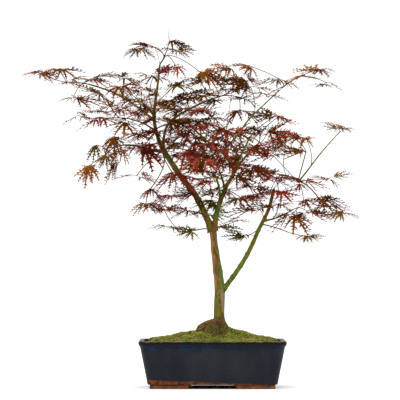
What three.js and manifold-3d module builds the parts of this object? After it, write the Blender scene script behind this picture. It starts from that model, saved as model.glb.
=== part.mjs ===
// A laceleaf Japanese maple grown as a bonsai, in a rectangular glazed pot.
// Millimetres, +Z up, the front of the tree towards -Y. The tree is laid out from the middle of
// the pot's foot plane, and the finished group is then centred on its own box in X and Y.
import * as THREE from "three";
import { mergeVertices } from "three/addons/utils/BufferGeometryUtils.js";
import Module from "manifold-3d";

const wasm = await Module();
wasm.setup();

// ---- Driving dimensions ------------------------------------------------------------------

const CLEARANCE = 0.3; // left between two pieces that touch on the real tree

const POT = {
  width: 248, // over the rim, left to right
  depth: 178, // over the rim, front to back
  height: 80, // foot plane to the rim
  foot: 7, // height of the feet
  taper: 30, // how much narrower the base is than the rim
  wall: 7,
  floor: 7,
  lipHeight: 9,
  lipStep: 1.3, // how far the lip stands out from the wall
  corner: 17, // corner radius at the rim
};
const DRAIN = { radius: 7, spread: 50, sides: 14 };
const FOOT = {
  long: 70, // leg along the front or back edge
  short: 44, // leg along the side edge
  thick: 17,
  slope: 9, // run of the slanted inner end
  setBack: 4, // from the edge of the pot's underside
};
const SOIL_TOP = POT.height - 6;
const MOSS = {
  halfWidth: 106,
  halfDepth: 71,
  edge: 5, // thickness at its rim
  peak: 29, // thickness against the trunk
  frontHollow: 3.5, // how much sooner it falls away in front of the trunk, where the roots lie bare
  centre: 11, // the trunk's offset from the pot's middle
  squareness: 3, // power of the outline: 2 is an ellipse
  edgeWaves: [[5, 0.035, 1], [9, 0.025, 2.3]], // number, depth and start of the waves in its outline
  hummock: 1.2, // height of its humps
};

const TRUNK = {
  base: SOIL_TOP + CLEARANCE,
  sides: 18,
  // Height, sideways wander in X and Y, and radius, from the soil up to the fork.
  stations: [
    [SOIL_TOP + CLEARANCE, 12, 0, 11.5],
    [84, 12, 0, 10.6],
    [95, 12, 0, 10],
    [106, 11.8, 0, 9.6],
    [118, 11.6, 0, 9.3],
    [142, 12, 0.5, 9.1],
    [167, 12.4, 1, 8.8],
    [193, 9.4, 1.5, 7.8],
    [219, 6, 1, 6.8],
    [245, 2.8, 0.5, 6],
    [260, 1.6, 0, 6.2],
    [270, 0.6, 0, 6.4],
  ],
};
// Surface roots of the flare: heading in degrees, reach beyond the trunk, and width of the ridge.
const ROOTS = [
  { heading: 184, reach: 30, width: 26, shoulder: 5.5 },
  { heading: 236, reach: 14, width: 24, shoulder: 1.3 },
  { heading: 300, reach: 12, width: 22, shoulder: 1.2 },
  { heading: 350, reach: 15, width: 26, shoulder: 1 },
  { heading: 95, reach: 14, width: 30, shoulder: 1.2 },
];
const FLARE_TOP = 116;

const LIMB_STEP = 20; // distance between a limb's rings
const LIMB_SIDES = { thick: 8, thin: 6 };
const THIN = 2.4; // radius under which a limb takes fewer sides

const COLOURS = {
  glaze: 0x232f42,
  clay: 0x8a4420,
  soil: 0x3a2b1e,
  moss: 0x8a8f22,
  bark: 0x7a6a3a,
  greenBark: 0x6f7430,
  crimson: 0x9b2f38,
  brown: 0x74392f,
  olive: 0x6e5a2a,
  green: 0x5d5f2b,
};

// ---- Solids ------------------------------------------------------------------------------

// A closed surface through a stack of rings, with a fan over each end.
function stack(rings, firstCentre, lastCentre) {
  const around = rings[0].length;
  const points = rings.flat().concat([firstCentre, lastCentre]);
  const first = points.length - 2;
  const last = points.length - 1;
  const faces = [];
  for (let k = 0; k < around; k++) {
    const next = (k + 1) % around;
    faces.push(first, next, k);
    for (let r = 0; r + 1 < rings.length; r++) {
      const low = r * around;
      const high = low + around;
      faces.push(low + k, low + next, high + next, low + k, high + next, high + k);
    }
    const top = (rings.length - 1) * around;
    faces.push(top + k, top + next, last);
  }
  const geometry = new THREE.BufferGeometry();
  const places = points.flatMap((p) => p.toArray());
  geometry.setAttribute("position", new THREE.Float32BufferAttribute(places, 3));
  geometry.setIndex(faces);
  return geometry;
}

// A geometry as a manifold solid.
function solid(geometry) {
  const bare = geometry.clone();
  bare.deleteAttribute("normal");
  bare.deleteAttribute("uv");
  const merged = mergeVertices(bare, 1e-4);
  return new wasm.Manifold(
    new wasm.Mesh({
      numProp: 3,
      vertProperties: new Float32Array(merged.attributes.position.array),
      triVerts: new Uint32Array(merged.index.array),
    }),
  );
}

// The largest body of a solid, so that a cut leaves no crumbs.
function largest(body) {
  return body.decompose().sort((a, b) => b.volume() - a.volume())[0];
}

function geometryOf(body) {
  const mesh = body.getMesh();
  const geometry = new THREE.BufferGeometry();
  const places = new Float32Array(mesh.vertProperties);
  geometry.setAttribute("position", new THREE.BufferAttribute(places, 3));
  geometry.setIndex(new THREE.BufferAttribute(new Uint32Array(mesh.triVerts), 1));
  geometry.computeVertexNormals();
  return geometry;
}

function boxesMeet(a, b) {
  const p = a.boundingBox();
  const q = b.boundingBox();
  return [0, 1, 2].every((i) => p.min[i] <= q.max[i] && q.min[i] <= p.max[i]);
}

const tree = new THREE.Group();

function place(name, geometry, colour, roughness) {
  const finish = { color: colour, roughness, metalness: 0, flatShading: true };
  const mesh = new THREE.Mesh(geometry, new THREE.MeshStandardMaterial(finish));
  mesh.name = name;
  tree.add(mesh);
}

// ---- Pot, feet, soil and moss ------------------------------------------------------------

// One level ring: a rectangle with round corners, anticlockwise from above.
function roundedRing(width, depth, radius, z) {
  const steps = 4; // chords in each corner
  const ring = [];
  for (let corner = 0; corner < 4; corner++) {
    const sx = corner === 0 || corner === 3 ? 1 : -1;
    const sy = corner < 2 ? 1 : -1;
    for (let s = 0; s <= steps; s++) {
      const angle = ((corner + s / steps) * Math.PI) / 2;
      const x = sx * (width / 2 - radius) + radius * Math.cos(angle);
      const y = sy * (depth / 2 - radius) + radius * Math.sin(angle);
      ring.push(new THREE.Vector3(x, y, z));
    }
  }
  return ring;
}

// The pot's inner width or depth at a height, from its outer size over the rim.
function innerSize(rim, z) {
  const floorZ = POT.foot + POT.floor;
  const top = rim - 2 * (POT.wall + 1);
  const bottom = rim - POT.taper + 2 - 2 * POT.wall;
  return bottom + ((top - bottom) * (z - floorZ)) / (POT.height - floorZ);
}

function potBody() {
  const edge = 1.5; // rounding of the rim and the base
  const base = POT.foot;
  const under = POT.height - POT.lipHeight;
  const lean = POT.taper / (POT.height - base);
  const ring = (inset, radius, z) => roundedRing(POT.width - inset, POT.depth - inset, radius, z);
  const inner = (z, radius) => roundedRing(innerSize(POT.width, z), innerSize(POT.depth, z), radius, z);
  const wallInset = 2 * POT.lipStep + lean * POT.lipHeight;
  const floorZ = base + POT.floor;
  const rings = [
    ring(POT.taper + 3, POT.corner - 4, base),
    ring(POT.taper, POT.corner - 3, base + edge),
    ring(wallInset, POT.corner - 1, under),
    ring(0.6, POT.corner, under + 2),
    ring(0, POT.corner, POT.height - edge),
    ring(2 * edge, POT.corner - edge, POT.height),
    inner(POT.height, POT.corner - POT.wall + 1),
    inner(floorZ, POT.corner - POT.wall),
  ];
  let body = solid(stack(rings, new THREE.Vector3(0, 0, base), new THREE.Vector3(0, 0, floorZ)));
  for (const side of [-1, 1]) {
    const hole = new THREE.CylinderGeometry(DRAIN.radius, DRAIN.radius, 3 * POT.floor, DRAIN.sides);
    hole.rotateX(Math.PI / 2);
    hole.translate(side * DRAIN.spread, 0, base + POT.floor / 2);
    body = body.subtract(solid(hole));
  }
  return geometryOf(body);
}

// One leg of a foot along +X from the corner, slanted at its free end.
function footLeg(length) {
  const profile = new THREE.Shape([
    new THREE.Vector2(0, 0),
    new THREE.Vector2(length - FOOT.slope, 0),
    new THREE.Vector2(length, POT.foot),
    new THREE.Vector2(0, POT.foot),
  ]);
  const leg = new THREE.ExtrudeGeometry(profile, { depth: FOOT.thick, bevelEnabled: false });
  leg.rotateX(Math.PI / 2); // the profile stands up, and the leg's thickness runs along -Y
  leg.translate(0, FOOT.thick, 0);
  return leg;
}

// A geometry reflected in X or Y, with its faces turned back outwards.
function mirrored(geometry, sideX, sideY) {
  geometry.scale(sideX, sideY, 1);
  if (sideX * sideY < 0) geometry.index.array.reverse();
  return geometry;
}

// An L-shaped foot under the corner on the given sides, drawn for the front left corner.
function cornerFoot(sideX, sideY) {
  const short = footLeg(FOOT.short);
  short.rotateZ(Math.PI / 2);
  short.translate(FOOT.thick, 0, 0);
  const foot = geometryOf(solid(footLeg(FOOT.long)).add(solid(short)));
  const reachX = (POT.width - POT.taper) / 2 - FOOT.setBack;
  const reachY = (POT.depth - POT.taper) / 2 - FOOT.setBack;
  foot.translate(-reachX, -reachY, 0);
  return mirrored(foot, -sideX, -sideY);
}

function soilBlock() {
  const low = POT.foot + POT.floor + CLEARANCE;
  const ring = (z) => {
    const width = innerSize(POT.width, z) - 2 * CLEARANCE;
    const depth = innerSize(POT.depth, z) - 2 * CLEARANCE;
    return roundedRing(width, depth, POT.corner - POT.wall, z);
  };
  const middle = (z) => new THREE.Vector3(0, 0, z);
  return stack([ring(low), ring(SOIL_TOP)], middle(low), middle(SOIL_TOP));
}

// A cushion of moss that rises from an uneven edge to the foot of the trunk.
function mossMound() {
  const around = 20;
  const base = SOIL_TOP + CLEARANCE;
  const shares = [1, 0.98, 0.82, 0.55, 0.28]; // rings from the edge to the trunk
  const rings = shares.map((share, level) => {
    const ring = [];
    for (let k = 0; k < around; k++) {
      const angle = (k / around) * 2 * Math.PI;
      const power = MOSS.squareness;
      const sum = Math.abs(Math.cos(angle)) ** power + Math.abs(Math.sin(angle)) ** power;
      const squared = sum ** (-1 / power);
      const uneven = MOSS.edgeWaves.reduce((u, [n, deep, at]) => u + deep * Math.sin(n * angle + at), 1);
      const reach = share * squared * uneven;
      const x = MOSS.centre * (1 - share) + MOSS.halfWidth * reach * Math.cos(angle);
      const y = MOSS.halfDepth * reach * Math.sin(angle);
      const fall = 1 + MOSS.frontHollow * Math.max(0, -Math.sin(angle)) ** 2;
      const rise = MOSS.edge + (MOSS.peak - MOSS.edge) * (1 - share) ** fall;
      const hummock = MOSS.hummock * Math.sin(3 * angle + 2 * level) * (share > 0.3 ? 1 : 0.3);
      ring.push(new THREE.Vector3(x, y, level === 0 ? base : base + rise + hummock));
    }
    return ring;
  });
  const middle = new THREE.Vector3(0, 0, base);
  return stack(rings, middle, new THREE.Vector3(MOSS.centre, 0, base + MOSS.peak));
}

// ---- Trunk -------------------------------------------------------------------------------

// How far the roots push the trunk's surface out, at a height and a heading.
function flare(z, heading) {
  if (z >= FLARE_TOP) return 0;
  const height = (z - TRUNK.base) / (FLARE_TOP - TRUNK.base);
  return ROOTS.reduce((sum, root) => {
    const off = THREE.MathUtils.euclideanModulo(heading - root.heading + 180, 360) - 180;
    const ridge = Math.exp(-((off / root.width) ** 2));
    const rise = 1 - Math.max(height, 0) ** root.shoulder;
    return sum + root.reach * ridge * rise;
  }, 0);
}

function trunk(extra) {
  const rings = TRUNK.stations.map(([z, x, y, radius]) => {
    const ring = [];
    for (let k = 0; k < TRUNK.sides; k++) {
      const heading = (k / TRUNK.sides) * 360;
      const angle = THREE.MathUtils.degToRad(heading);
      const r = radius + flare(z, heading) + extra;
      ring.push(new THREE.Vector3(x + r * Math.cos(angle), y + r * Math.sin(angle), z));
    }
    return ring;
  });
  if (extra > 0) {
    rings[0].forEach((p) => (p.z -= extra));
    rings.at(-1).forEach((p) => (p.z += extra));
  }
  const middle = ([z, x, y], lift) => new THREE.Vector3(x, y, z + lift);
  return stack(rings, middle(TRUNK.stations[0], -extra), middle(TRUNK.stations.at(-1), extra));
}

// ---- Boughs ------------------------------------------------------------------------------

// A limb tapers evenly from its foot to its tip along a smooth path.
function limb(path, base, tip, extra) {
  const curve = new THREE.CatmullRomCurve3(path.map((p) => new THREE.Vector3(...p)));
  const sides = base < THIN ? LIMB_SIDES.thin : LIMB_SIDES.thick;
  const steps = Math.max(3, Math.round(curve.getLength() / LIMB_STEP));
  const frames = curve.computeFrenetFrames(steps, false);
  const rings = [];
  for (let s = 0; s <= steps; s++) {
    const share = s / steps;
    const centre = curve.getPointAt(share);
    const radius = base + (tip - base) * share + extra;
    const ring = [];
    for (let k = 0; k < sides; k++) {
      const angle = (k / sides) * 2 * Math.PI;
      const across = frames.normals[s].clone().multiplyScalar(radius * Math.cos(angle));
      const up = frames.binormals[s].clone().multiplyScalar(radius * Math.sin(angle));
      ring.push(centre.clone().add(across).add(up));
    }
    rings.push(ring);
  }
  const first = curve.getPointAt(0).addScaledVector(frames.tangents[0], -extra);
  const last = curve.getPointAt(1).addScaledVector(frames.tangents[steps], 0.4 * tip + extra);
  return stack(rings, first, last);
}

// Name, radius at the foot and at the tip, and path from the parent limb outwards.
const LIMBS = [
  ["bough_left", 5.6, 4.4, [
    [0, 0, 264], [-12, 2, 292], [-30, 4, 327], [-55, 5, 359], [-75, 5, 389], [-84, 4, 402],
  ]],
  ["bough_right", 4.4, 2.6, [
    [10, 0, 152], [21, -2, 168], [42, -6, 197], [57, -9, 221], [68, -13, 243], [78, -16, 266],
    [86, -19, 282], [95, -22, 301], [104, -28, 336],
  ]],
  ["bough_centre", 4.6, 2.6, [
    [2, 0, 266], [9, -3, 301], [23, -7, 339], [36, -12, 364], [28, -12, 384], [21, -12, 404],
  ]],
  ["leader", 3.6, 1.5, [
    [-82, 4, 399], [-92, 4, 422], [-99, 3, 455], [-96, 2, 490], [-92, 0, 520], [-89, 0, 548],
  ]],
  ["bough_upper_right", 2.5, 1.4, [
    [-84, 5, 401], [-81, 12, 431], [-73, 18, 450], [-56, 24, 463], [-26, 32, 480], [6, 34, 493],
  ]],
  ["bough_inner_left", 2.1, 1.3, [[25, -12, 391], [-5, -20, 413], [-30, -28, 435], [-46, -33, 451]]],
  ["shoot_upper_right", 1.7, 0.9, [
    [21, -13, 403], [42, -16, 426], [60, -17, 451], [82, -15, 473], [117, -7, 506],
  ]],
  ["bough_low_left", 2.3, 1.5, [[-82, 2, 399], [-112, -12, 403], [-130, -22, 408], [-150, -32, 409]]],
  ["arm_left", 2, 1.2, [
    [-98, 3, 452], [-131, 12, 478], [-165, 16, 499], [-199, 10, 511], [-214, 7, 515],
  ]],
  ["twig_left", 1.5, 1, [[-95, 3, 434], [-118, -12, 447], [-142, -24, 454]]],
  ["shoot_right", 1.3, 0.8, [
    [144, -28, 346], [157, -28, 362], [184, -25, 397], [209, -12, 425], [218, -7, 434],
  ]],
  ["twig_right_low", 1.5, 1, [[86, -18, 281], [110, -22, 287], [139, -27, 302]]],
  ["twig_low_right", 0.9, 0.8, [[83, -17, 276], [106, -26, 270], [130, -33, 261]]],
  ["bough_front_high", 1.7, 1.2, [[-98, 3, 458], [-110, -22, 473], [-124, -42, 484]]],
  ["bough_back_high", 1.7, 1.2, [[-98, 3, 462], [-108, 30, 474], [-122, 46, 482]]],
  ["bough_front_centre", 2.1, 1.5, [[14, -5, 316], [10, -34, 342], [2, -58, 364]]],
  ["bough_back_centre", 2.1, 1.5, [[21, -6, 333], [18, 26, 350], [11, 56, 372]]],
  ["bough_front_right", 1.9, 1.3, [[36, -12, 363], [58, -36, 392], [78, -54, 412]]],
  ["bough_back_right", 1.9, 1.3, [[36, -12, 365], [49, 26, 394], [66, 68, 428]]],
];

// ---- Foliage -----------------------------------------------------------------------------

const TIP_DRAG = 0.4; // how much of the way a tip draws the surface beside it
const TIP_FOCUS = 14; // and how narrowly
const SIDE_LOBES = [0.1, 0.08]; // depth of the three broad and the five narrow lobes round a mass
const LUMPS = 0.16; // unevenness of its top and underside

// A mass of leaves is a flattened lump with lobed sides and drooping edges. Each tip is a point
// that the lump is drawn out to, where a leaf or its stalk stands clear of the rest.
function foliage({ at, reach, slant = 0, droop = 6, tips = [], fine = 2 }, seed, extra) {
  const sphere = new THREE.IcosahedronGeometry(1, fine);
  sphere.deleteAttribute("normal");
  sphere.deleteAttribute("uv");
  const geometry = mergeVertices(sphere, 1e-4);
  const centre = new THREE.Vector3(...at);
  const tilt = THREE.MathUtils.degToRad(slant);
  const position = geometry.attributes.position;
  const points = [];
  for (let i = 0; i < position.count; i++) {
    const way = new THREE.Vector3().fromBufferAttribute(position, i);
    const angle = Math.atan2(way.y, way.x);
    const level = Math.hypot(way.x, way.y);
    const broad = SIDE_LOBES[0] * Math.sin(3 * angle + seed);
    const narrow = SIDE_LOBES[1] * Math.sin(5 * angle + 2.7 * seed);
    const lobes = 1 + level * (broad + narrow);
    const lumps = LUMPS * Math.sin(4 * way.x + 1.9 * seed) * Math.cos(4 * way.y + seed);
    const p = new THREE.Vector3(
      way.x * (reach[0] * lobes + extra),
      way.y * (reach[1] * lobes + extra),
      way.z * (reach[2] * (1 + lumps) + extra) - droop * (level ** 2 - 0.5),
    );
    points.push(p.applyAxisAngle(new THREE.Vector3(0, 1, 0), tilt));
  }
  const drawn = new Set();
  for (const tip of tips) {
    const away = new THREE.Vector3(...tip).sub(centre);
    const heading = away.clone().normalize();
    const target = away.addScaledVector(heading, extra);
    const along = points.map((p, i) => (drawn.has(i) ? -1 : p.clone().normalize().dot(heading)));
    const nearest = along.indexOf(Math.max(...along));
    points.forEach((p, i) => {
      const drag = TIP_DRAG * Math.max(along[i], 0) ** TIP_FOCUS;
      p.lerp(target, i === nearest ? 1 : drag);
    });
    drawn.add(nearest);
  }
  points.forEach((p, i) => position.setXYZ(i, p.x + at[0], p.y + at[1], p.z + at[2]));
  return geometry;
}

const MASSES = [
  ["foliage_far_left", "brown", { at: [-262, 0, 525], reach: [54, 36, 14], slant: 3,
    tips: [[-323, -4, 525], [-262, 12, 545], [-290, -34, 512]] }],
  ["foliage_left_outer", "olive", { at: [-207, -20, 493], reach: [37, 44, 19], droop: 10,
    tips: [[-247, -36, 502]] }],
  ["foliage_left_upper", "olive", { at: [-157, 22, 530], reach: [46, 40, 10],
    tips: [[-206, 16, 529], [-163, 17, 500], [-110, 8, 521]] }],
  ["foliage_left_front", "brown", { at: [-140, -66, 482], reach: [47, 54, 19], droop: 12 }],
  ["foliage_left_back", "crimson", { at: [-136, 82, 490], reach: [50, 58, 22], droop: 12 }],
  ["foliage_left_middle", "crimson", { at: [-178, -38, 450], reach: [50, 40, 11], droop: 8,
    tips: [[-231, -30, 458], [-225, -48, 440]] }],
  ["foliage_left_drooping", "olive", { at: [-174, -40, 392], reach: [33, 34, 33], slant: -18, droop: 16,
    tips: [[-211, -46, 331], [-216, -30, 380]] }],
  ["foliage_left_inner", "crimson", { at: [-117, -18, 424], reach: [29, 31, 19], fine: 1 }],
  ["foliage_left_under", "brown", { at: [-108, -12, 377], reach: [23, 26, 15], droop: 9, fine: 1,
    tips: [[-72, 4, 385]] }],
  ["foliage_bough_under", "crimson", { at: [-68, -24, 323], reach: [35, 36, 20], droop: 12,
    tips: [[-103, -30, 306], [-33, 3, 331]] }],
  ["foliage_low_left", "green", { at: [-42, -14, 271], reach: [40, 24, 13], slant: 22, fine: 1,
    tips: [[-84, -20, 268], [-1, -2, 263], [-12, -22, 245]] }],
  ["foliage_top_left", "brown", { at: [-107, -4, 577], reach: [24, 24, 9],
    tips: [[-131, -6, 567], [-89, 0, 547], [-100, 6, 592]] }],
  ["foliage_top_right", "brown", { at: [-62, 6, 571], reach: [24, 26, 9],
    tips: [[-72, 2, 609], [-54, 10, 596], [-29, 0, 569], [-88, 1, 549]] }],
  ["foliage_leader_tuft", "crimson", { at: [-68, -8, 524], reach: [32, 38, 15], droop: 10 }],
  ["foliage_leader_right", "brown", { at: [-54, -26, 485], reach: [38, 44, 14], droop: 9,
    tips: [[-97, 2, 482]] }],
  ["foliage_upper_centre", "brown", { at: [24, 22, 514], reach: [61, 54, 21], slant: -3, droop: 10 }],
  ["foliage_upper_right", "brown", { at: [121, -5, 513], reach: [36, 38, 15], droop: 9 }],
  ["foliage_far_upper_right", "brown", { at: [163, 6, 531], reach: [34, 30, 11], fine: 1,
    tips: [[200, 2, 503], [187, 10, 545], [126, 8, 548]] }],
  ["foliage_inner_front", "crimson", { at: [-19, -68, 444], reach: [35, 48, 15], droop: 10,
    tips: [[-45, -33, 450]] }],
  ["foliage_inner_back", "brown", { at: [-44, 64, 420], reach: [36, 54, 23], droop: 12,
    tips: [[-78, 15, 440]] }],
  ["foliage_centre_front", "crimson", { at: [-8, -98, 369], reach: [46, 58, 23], droop: 12 }],
  ["foliage_centre_back", "brown", { at: [8, 92, 382], reach: [52, 60, 26], droop: 12 }],
  ["foliage_right_front", "crimson", { at: [98, -84, 412], reach: [48, 56, 24], droop: 14 }],
  ["foliage_right_back", "brown", { at: [76, 98, 438], reach: [54, 60, 24], droop: 12 }],
  ["foliage_right_middle", "crimson", { at: [100, -38, 348], reach: [56, 58, 26], droop: 12 }],
  ["foliage_right_middle_back", "brown", { at: [104, 76, 358], reach: [50, 56, 23], droop: 12 }],
  ["foliage_right_outer", "brown", { at: [187, 8, 353], reach: [40, 32, 10], fine: 1,
    tips: [[229, 2, 363], [140, -12, 352]] }],
  ["foliage_right_low", "crimson", { at: [178, -26, 309], reach: [56, 40, 14], slant: 12, droop: 8,
    tips: [[241, -30, 281], [139, -27, 301], [141, -46, 276]] }],
  ["foliage_low_right", "brown", { at: [150, -36, 257], reach: [24, 20, 10], slant: 20, fine: 1,
    tips: [[175, -40, 241]] }],
  ["foliage_right_side", "olive", { at: [156, -10, 420], reach: [27, 22, 8], fine: 1,
    tips: [[184, -25, 397]] }],
  ["foliage_far_right", "brown", { at: [223, -4, 434], reach: [22, 20, 9], fine: 1,
    tips: [[248, -4, 438]] }],
  ["foliage_fork", "green", { at: [19, 22, 301], reach: [30, 34, 20], droop: 8 }],
  ["foliage_low_centre", "green", { at: [44, -12, 258], reach: [28, 22, 11], fine: 1,
    tips: [[78, -16, 267]] }],
];

// ---- Assembly ----------------------------------------------------------------------------

place("pot_body", potBody(), COLOURS.glaze, 0.25);
for (const [sideX, across] of [[-1, "left"], [1, "right"]]) {
  for (const [sideY, along] of [[-1, "front"], [1, "back"]]) {
    place(`pot_foot_${along}_${across}`, cornerFoot(sideX, sideY), COLOURS.clay, 0.9);
  }
}
place("soil", soilBlock(), COLOURS.soil, 1);
const moss = solid(mossMound()).subtract(solid(trunk(CLEARANCE)));
place("moss_mound", geometryOf(largest(moss)), COLOURS.moss, 1);
place("trunk", trunk(0), COLOURS.bark, 0.9);

// Each limb is fitted to the trunk and to the limbs before it.
const grown = [solid(trunk(CLEARANCE))];
for (const [name, base, tip, path] of LIMBS) {
  let body = solid(limb(path, base, tip, 0));
  for (const neighbour of grown.filter((other) => boxesMeet(other, body))) {
    body = body.subtract(neighbour);
  }
  place(name, geometryOf(largest(body)), COLOURS.greenBark, 0.85);
  grown.push(solid(limb(path, base, tip, CLEARANCE)));
}

// Each mass is cut round the limbs that reach into it, and round the masses before it.
MASSES.forEach(([name, colour, shape], seed) => {
  let body = solid(foliage(shape, seed, 0));
  for (const neighbour of grown.filter((other) => boxesMeet(other, body))) {
    body = body.subtract(neighbour);
  }
  place(name, geometryOf(largest(body)), COLOURS[colour], 0.7);
  grown.push(solid(foliage(shape, seed, CLEARANCE)));
});

// The finished group's box is centred on X and Y, with the feet on Z = 0.
const part = new THREE.Group();
part.add(tree);
part.updateMatrixWorld(true);
const middle = new THREE.Box3().setFromObject(part, true).getCenter(new THREE.Vector3());
tree.position.set(-middle.x, -middle.y, 0);

export default part;
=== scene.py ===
import math

import bmesh
import bpy
import numpy as np
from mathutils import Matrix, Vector, noise
from mathutils.bvhtree import BVHTree


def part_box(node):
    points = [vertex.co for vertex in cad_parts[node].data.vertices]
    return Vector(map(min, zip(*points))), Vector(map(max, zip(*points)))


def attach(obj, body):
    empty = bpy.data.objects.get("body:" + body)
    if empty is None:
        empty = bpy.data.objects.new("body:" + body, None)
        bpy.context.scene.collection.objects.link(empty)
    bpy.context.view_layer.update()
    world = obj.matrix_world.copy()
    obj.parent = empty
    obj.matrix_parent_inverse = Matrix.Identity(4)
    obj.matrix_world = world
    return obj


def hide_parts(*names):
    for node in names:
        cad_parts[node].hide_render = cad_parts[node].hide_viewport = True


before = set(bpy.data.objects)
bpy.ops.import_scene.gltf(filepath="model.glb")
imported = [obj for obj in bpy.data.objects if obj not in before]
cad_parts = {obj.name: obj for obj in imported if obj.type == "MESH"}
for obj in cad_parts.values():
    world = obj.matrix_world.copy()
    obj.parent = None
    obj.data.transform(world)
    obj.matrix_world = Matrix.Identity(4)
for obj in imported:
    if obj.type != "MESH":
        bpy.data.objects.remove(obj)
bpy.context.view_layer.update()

# ---- The frame -----------------------------------------------------------------------------
# The plant is laid out in millimetres from the middle of the pot's foot plane, front to -Y.
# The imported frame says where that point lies, and each piece is turned into metres there.

MM = 0.001
pot_low, pot_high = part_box("pot_body")
POT_MIDDLE = np.array([(pot_low.x + pot_high.x) / 2, (pot_low.y + pot_high.y) / 2, 0.0])

# ---- Glazed pot ----------------------------------------------------------------------------
# A rectangular stoneware pot, press-moulded, with tapered walls and a raised lip. Its blue-black
# glaze pools navy and green under the lip and breaks brown on the rim's edges, and the foot of
# the walls is wiped bare. Two drain holes go through its floor.

POT = {"width": 248.0, "depth": 178.0}
# Total inset from the rim's size, corner radius and height, from the underside round the lip
# and down to the inner floor.
POT_PROFILE = [
    (34.5, 12.5, 7.0), (32.2, 12.8, 7.2), (30.6, 13.2, 7.9), (29.8, 13.6, 9.0),
    (22.7, 14.3, 27.0), (14.4, 15.0, 48.0), (6.5, 15.8, 68.0), (5.5, 16.0, 70.2),
    (4.3, 16.1, 71.2), (2.2, 16.4, 72.2), (1.1, 16.7, 73.0), (0.4, 17.0, 74.2),
    (0.0, 17.0, 76.0), (0.1, 17.0, 78.0), (0.7, 16.7, 79.1), (1.8, 16.2, 79.7),
    (3.4, 15.6, 80.0), (14.6, 11.4, 80.0), (15.8, 11.0, 79.6), (16.6, 10.8, 78.6),
    (29.0, 10.4, 47.0), (42.0, 10.0, 14.0),
]
DRAIN_HOLES = {"radius": 7.0, "spread": 50.0, "sides": 40, "length": 30.0, "middle": 10.0}
POT_CREASE = 40  # degrees past which an edge stays sharp
SAME_POINT = 1e-6  # metres between points that are merged

# Heights in metres at which the glaze changes: pools of navy, a black line, and the worn rim.
GLAZE_BANDS = {"navy": (0.0665, 0.0715), "line": (0.0738, 0.0752), "rim": (0.0785, 0.0797)}
# The wavy line, lower to the right, under which the clay was wiped bare.
FOOT_LINE = {"height": 0.0094, "slope": 0.044, "wave": 0.0018, "edge": 0.0012}
GLAZE_COLOURS = {
    "body": ("12171f", "202229"), "pool_left": "0d2340", "pool_right": "0e2c2e", "round_pools": "0a1420",
    "line": "07080b", "speck": "3c4648", "rim": ("3c3018", "64543a"), "bare": ("3c2314", "6e3c1c"),
}
# Each pattern of patches: scale, the noise where they start and where they are full, and detail.
GLAZE_PATCHES = {
    "body": (30.0, 0.34, 0.68, 5.0), "drift": (40.0, 0.25, 0.75, 4.0), "pools": (75.0, 0.46, 0.72, 5.0),
    "wander": (90.0, 0.3, 0.7, 3.0), "specks": (420.0, 0.64, 0.72, 2.0), "rim": (120.0, 0.35, 0.65, 3.0),
    "wave": (26.0, 0.25, 0.75, 3.0), "bare": (160.0, 0.35, 0.65, 3.0), "dull": (70.0, 0.3, 0.7, 5.0),
}
GLAZE_EDGES = {"navy_drift": 0.009, "wander": 0.0014, "pools_turn": 0.05}  # metres
GLAZE_SHEEN = {"smooth": 0.24, "dull": 0.16, "bare": 0.88, "coat": 0.07, "specks": 0.35}


def rounded_ring(width, depth, radius, z, corner_steps=10, side_steps=14):
    """A level rectangle with round corners, anticlockwise from above, in millimetres."""
    middles = [np.array([sx * (width / 2 - radius), sy * (depth / 2 - radius)])
               for sx, sy in ((1, 1), (-1, 1), (-1, -1), (1, -1))]
    ring = []
    for corner in range(4):
        for step in range(corner_steps + 1):
            angle = (corner + step / corner_steps) * math.pi / 2
            ring.append(middles[corner] + radius * np.array([math.cos(angle), math.sin(angle)]))
        end = ring[-1]
        following = (corner + 1) % 4
        angle = following * math.pi / 2
        start = middles[following] + radius * np.array([math.cos(angle), math.sin(angle)])
        for step in range(1, side_steps):
            ring.append(end + (start - end) * step / side_steps)
    return np.column_stack([np.array(ring), np.full(len(ring), z)])


def ring_faces(rings, around, first=0):
    """Quads between one ring and the next, for rings stacked in order."""
    faces = []
    for level in range(rings - 1):
        low = first + level * around
        for k in range(around):
            following = (k + 1) % around
            faces.append((low + k, low + following, low + around + following, low + around + k))
    return faces


def piece_from(name, points, faces, materials, smooth=True, material_of=None):
    """A mesh object from millimetre points about the pot's middle."""
    mesh = bpy.data.meshes.new(name)
    placed = np.asarray(points, float) * MM + POT_MIDDLE
    mesh.from_pydata(placed.tolist(), [], faces)
    for material in materials:
        mesh.materials.append(material)
    if material_of is not None:
        mesh.polygons.foreach_set("material_index", np.asarray(material_of, np.int32))
    mesh.polygons.foreach_set("use_smooth", np.full(len(mesh.polygons), smooth))
    mesh.update()
    made = bpy.data.objects.new(name, mesh)
    bpy.context.scene.collection.objects.link(made)
    return made


def outward(piece):
    """Closes seams and turns every face of a closed piece outwards."""
    shape = bmesh.new()
    shape.from_mesh(piece.data)
    bmesh.ops.remove_doubles(shape, verts=shape.verts, dist=SAME_POINT)
    bmesh.ops.recalc_face_normals(shape, faces=shape.faces)
    shape.to_mesh(piece.data)
    shape.free()


def settle(piece, slot, *nodes):
    """The piece rides with the pot and stands for its nodes."""
    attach(piece, "root")
    if nodes:
        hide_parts(*nodes)


def colour(code):
    """Linear red, green, blue and alpha of a hex colour."""
    parts = [int(code[k:k + 2], 16) / 255 for k in (0, 2, 4)]
    return [c / 12.92 if c <= 0.04045 else ((c + 0.055) / 1.055) ** 2.4 for c in parts] + [1.0]


def add(tree, kind, inputs=None, **settings):
    """A node with its settings made and its inputs filled or linked."""
    made = tree.nodes.new(kind)
    for key, value in settings.items():
        setattr(made, key, value)
    for key, value in (inputs or {}).items():
        if isinstance(value, bpy.types.NodeSocket):
            tree.links.new(value, made.inputs[key])
        else:
            made.inputs[key].default_value = value
    return made


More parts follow.
